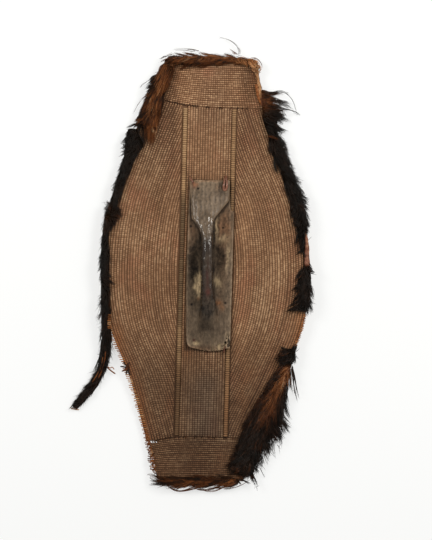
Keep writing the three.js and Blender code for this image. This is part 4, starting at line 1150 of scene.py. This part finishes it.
def sprig():
    """A tangle of broken cane standing out from the lower left rim."""
    z = on_rows(-182, -246, 6)
    ends = [(-196, -232), (-203, -243), (-199, -255), (-188, -262), (-182, -232), (-193, -250), (-178, -264),
            (-190, -238)]
    for k, (x, y) in enumerate(ends):
        middle = ((-184 + x) / 2 + (k % 3) - 1, (-247 + y) / 2 + 2 - k % 4, z + 3)
        yield 2.1, 0.2 + 0.1 * (k % 3), [(-182, -247, z - 1), middle, (x, y, z + 1 - k % 3)]


def seam_stitches():
    """Dark stitches that hold the bands to the long rows."""
    rng = np.random.default_rng(33)
    for x in np.arange(-108, 104, 5.6):
        for seam, likely in ((top_seam, 1.0 if x < -30 else 0.45), (low_seam, 1.0 if x < -60 else 0.3)):
            if rng.random() > likely:
                continue
            y = float(seam(x))
            lean = rng.uniform(-2, 3)
            size = rng.uniform(2.6, 4.2)
            z = on_rows(x, y, 7.0)
            yield rng.uniform(0.8, 1.25), rng.uniform(0.12, 0.4), [
                (x - lean, y - size, z - 1.2), (x, y, z + 0.5), (x + lean, y + size, z - 1.2)]


def thong():
    """A brown thong caught on the loose tail, its rough cut end, and skin in streaks along it."""
    z = 9.0
    yield 1.7, 0.6, [(-243, -214, z + 6), (-243, -228, z + 5), (-239, -243, z + 3), (-228, -254, z),
                     (-216, -263, z - 4)]
    yield 1.1, 0.75, [(-240, -240, z + 3), (-230, -248, z + 2), (-224, -246, z), (-219, -252, z - 2)]
    yield 1.3, 0.9, [(-326, -351, 3), (-317, -354, 4), (-308, -355, 3.5), (-304, -355, 3)]
    for radius, tone, streak in (
        (1.6, 0.5, [(-240, -206), (-242, -228), (-248, -252), (-257, -274)]),
        (1.2, 0.62, [(-247, -220), (-251, -244), (-262, -268), (-272, -284)]),
    ):
        x, y = np.transpose(streak)
        yield radius, tone, np.stack([x, y, roof_of("hide_strip_left", x, y) + 1.8], -1)


def wandering(route, count, loose, span, seed):
    """Hairs that follow parts of a route, each at its own offset: paths, and the draws to go on with."""
    rng = np.random.default_rng(seed)
    last = len(route) - 1
    first = rng.uniform(-0.3, last - 0.3, count)
    s = np.linspace(0, 1, 7)
    at = np.clip(first[:, None] + span * rng.uniform(0.5, 1.2, count)[:, None] * s, 0, last)
    path = on_route(route, at)
    turn = rng.uniform(0, 2 * math.pi, (count, 1)) + rng.normal(0, 3.6, (count, 1)) * s
    away = loose * rng.uniform(0.2, 1.0, (count, 1)) * (0.7 + 0.7 * s)
    path[..., 0] += away * np.cos(turn)
    path[..., 1] += away * np.sin(turn) * 0.8
    path[..., 2] += np.abs(away * np.sin(turn + 1.0)) * 0.7
    return path, rng


def corner_binding():
    """Frayed orange bast bound over the top right corner and down the edge beside it."""
    edge = [(66, 527), (84, 524), (100, 521), (110, 515), (115, 503), (118, 488), (121, 470), (125, 452),
            (130, 432)]
    route = [(x, y, on_rows(min(x, 112), min(y, 520), 7.4)) for x, y in edge]
    core = [(x - 1, y - 1, z - 2.5) for x, y, z in route]
    folded = [(114, 468), (117, 455), (120, 440), (126, 426), (134, 415)]
    fold = [(x, y, on_rows(min(x, 112), y, 9.0)) for x, y in folded]
    under = [(2.2, 0.6, core), (3.6, 0.62, fold)]
    cords("corner_binding_core", under, "hide_strip_right", 8, 6)
    path, rng = wandering(route[:5], 330, 10.5, 0.8, 41)
    more, _ = wandering(route[4:], 180, 5.0, 0.9, 42)
    # ends that stray inward over the weave
    n = 170
    x = rng.uniform(60, 113, n)
    heading = rng.normal(-1.0, 0.4, n)
    reach = rng.uniform(6, 24, n) * (0.4 + 0.6 * smooth(x, 55, 105))
    s = np.linspace(0, 1, 7)
    x = np.minimum(x[:, None] + (reach * np.cos(heading))[:, None] * s, 117)
    y = 524 + rng.normal(0, 1.5, n)[:, None] + (reach * np.sin(heading))[:, None] * s
    inward = np.stack([x, y, ground(x, y) + 1.5 + rng.uniform(0, 2, n)[:, None] * np.sin(math.pi * s)], -1)
    path = np.concatenate([path, more, inward])
    path[..., 2] = np.maximum(path[..., 2], ground(path[..., 0], path[..., 1]) + 0.5)
    tone = np.where(rng.random(len(path)) < 0.3, 0.3, 0.74) + 0.3 * rng.random(len(path))
    tone = tone - 0.28 * (1 - smooth(path[:, 0, 0], 88, 104))
    width = rng.uniform(0.9, 2.1, len(path))
    strands("corner_binding", path, width, tone, np.clip(tone + 0.05, 0, 1), BAST,
            "hide_strip_right")


# single hairs and wisps: width, tone, then x and y of each point seen from above
STRAYS = {
    "hide_strip_top": [
        (0.9, 0.3, 70, 540, 69, 552, 62, 566, 42, 579, 16, 585), (0.8, 0.35, 71, 541, 72, 552, 66, 562),
        (1.3, 0.5, 66, 540, 58, 547, 48, 555), (1.2, 0.5, 60, 541, 53, 550),
        (1.0, 0.35, -40, 545, -62, 550, -96, 551), (1.0, 0.35, -30, 547, -48, 552, -60, 552),
        (1.1, 0.35, -96, 536, -114, 530, -130, 524), (0.9, 0.45, 108, 532, 118, 530, 127, 518, 128, 508),
        (0.9, 0.5, 100, 534, 112, 533, 122, 524),
    ],
    "hide_strip_upper_left": [
        (0.7, 0.35, -158, 432, -176, 414, -190, 388), (0.7, 0.3, -148, 470, -166, 462, -176, 452),
    ],
    "hide_strip_right": [
        (1.2, 0.12, 148, 446, 180, 452, 205, 436, 219, 403), (1.0, 0.15, 150, 448, 176, 455, 200, 449),
        (1.4, 0.1, 150, 412, 188, 409, 214, 402, 224, 396), (1.2, 0.12, 152, 428, 180, 430, 198, 424),
        (0.9, 0.1, 160, 400, 200, 404, 226, 392), (1.1, 0.42, 146, 341, 156, 336, 168, 333, 178, 330),
        (0.9, 0.42, 147, 337, 158, 339, 170, 331), (1.2, 0.05, 256, -70, 264, -84, 266, -97),
    ],
    "hide_strip_lower_right": [
        (2.6, 0.12, 223, -232, 230, -262, 236, -290, 244, -316), (2.2, 0.2, 222, -236, 229, -266, 233, -300),
        (2.0, 0.1, 224, -230, 232, -258, 240, -304), (1.0, 0.1, 150, -486, 158, -500, 164, -512),
    ],
    "hide_strip_bottom": [
        (2.6, 0.5, 24, -530, -20, -546, -50, -551, -70, -545, -80, -533),
        (2.2, 0.45, -6, -534, -40, -548, -62, -547, -74, -538),
        (1.5, 0.35, -70, -524, -98, -522, -122, -510, -130, -511),
        (2.2, 0.5, 76, -528, 44, -546, 22, -549, 8, -544),
        (1.4, 0.4, 124, -518, 96, -534, 74, -541, 62, -540),
        (2.4, 0.5, 60, -528, 30, -543, 0, -545, -14, -537), (2.2, 0.5, 90, -524, 56, -539, 20, -542),
        (1.4, 0.2, -90, -520, -112, -524, -124, -516), (1.3, 0.15, -90, -526, -110, -536, -124, -538),
        (2.4, 0.1, 98, -514, 112, -518, 127, -528),
    ],
}


def stray_hairs():
    """Each stray as four hairs side by side."""
    rng = np.random.default_rng(51)
    s = np.linspace(0, 1, 12)
    for node, strays in STRAYS.items():
        strays = [stray for stray in strays for _ in range(4)]
        paths = []
        for _, _, *route in strays:
            route = np.reshape(route, (-1, 2))
            apart = rng.normal(0, 1.1, (2, 1)) + rng.normal(0, 1.3, (2, 1)) * s
            x, y = on_route(route, s * (len(route) - 1)).T + apart
            z = np.maximum(np.maximum(ground(x, y) + 2.5, 4 + 10 * (1 - s)), roof_of(node, x, y) + 3)
            paths.append(np.stack([x, y, z], -1))
        width, tone = (np.array([stray[k] for stray in strays]) for k in range(2))
        strands(node + "_strays", np.array(paths), 0.9 * width, tone, tone, RUSSET_HAIR, node)


cords("rim_stubs", rim_stubs(), "woven_panel")
cords("band_frays", band_frays(), "woven_panel", 4)
cords("sprig", sprig(), "woven_panel")
cords("seam_stitches", seam_stitches(), "woven_panel")
corner_binding()
stray_hairs()
cords("tail_thong", thong(), "hide_strip_left", 6, 5)


# Stage

WARM_WHITE = (1, 0.95, 0.88)


def floor():
    """A lit sweep: part of its brightness is its own, so shadows on it stay faint."""
    half = 14.0
    corners = [(-half, -half, 0), (half, -half, 0), (half, half, 0), (-half, half, 0)]
    mesh = bpy.data.meshes.new("floor")
    mesh.from_pydata(corners, [], [(0, 1, 2, 3)])
    sweep = bpy.data.objects.new("floor", mesh)
    bpy.context.scene.collection.objects.link(sweep)
    glow = {"Emission_Color": (1, 1, 0.99, 1), "Emission_Strength": 0.63}
    mesh.materials.append(Graph("floor").finish((0.34, 0.36, 0.38, 1), 0.9, Specular_IOR_Level=0.0, **glow))


def studio_light():
    world = bpy.data.worlds.new("studio")
    world.use_nodes = True
    background = world.node_tree.nodes["Background"].inputs
    background["Color"].default_value = (*WARM_WHITE, 1)
    background["Strength"].default_value = 0.45
    bpy.context.scene.world = world
    for name, place, size, power in (
        ("key", (1.8, 1.4, 2.2), (1.0, 1.0), 52),
        ("side", (1.9, -0.15, 1.9), (0.12, 1.4), 2.2),
        ("fill", (-1.7, 0.9, 2.0), (0.7, 1.1), 30),
    ):
        light = bpy.data.lights.new(name, "AREA")
        light.shape = "RECTANGLE"
        light.size, light.size_y = size
        light.energy = power
        light.color = WARM_WHITE
        lamp = bpy.data.objects.new(name, light)
        lamp.location = place
        lamp.rotation_euler = (-Vector(place)).to_track_quat("-Z", "Y").to_euler()
        bpy.context.scene.collection.objects.link(lamp)


def camera():
    """Straight above the shield and turned as in the photograph. The frame is tall metres high."""
    tall, turn = 1.350, math.radians(1.6)
    data = bpy.data.cameras.new("camera")
    data.lens, data.sensor_width = 85.0, 36.0
    made = bpy.data.objects.new("camera", data)
    made.location = (0.0279, 0.0033, tall * data.lens / data.sensor_width)
    made.rotation_euler = (0, 0, turn)
    bpy.context.scene.collection.objects.link(made)
    bpy.context.scene.camera = made


floor()
studio_light()
camera()
scene = bpy.context.scene
scene.view_settings.view_transform = "Standard"
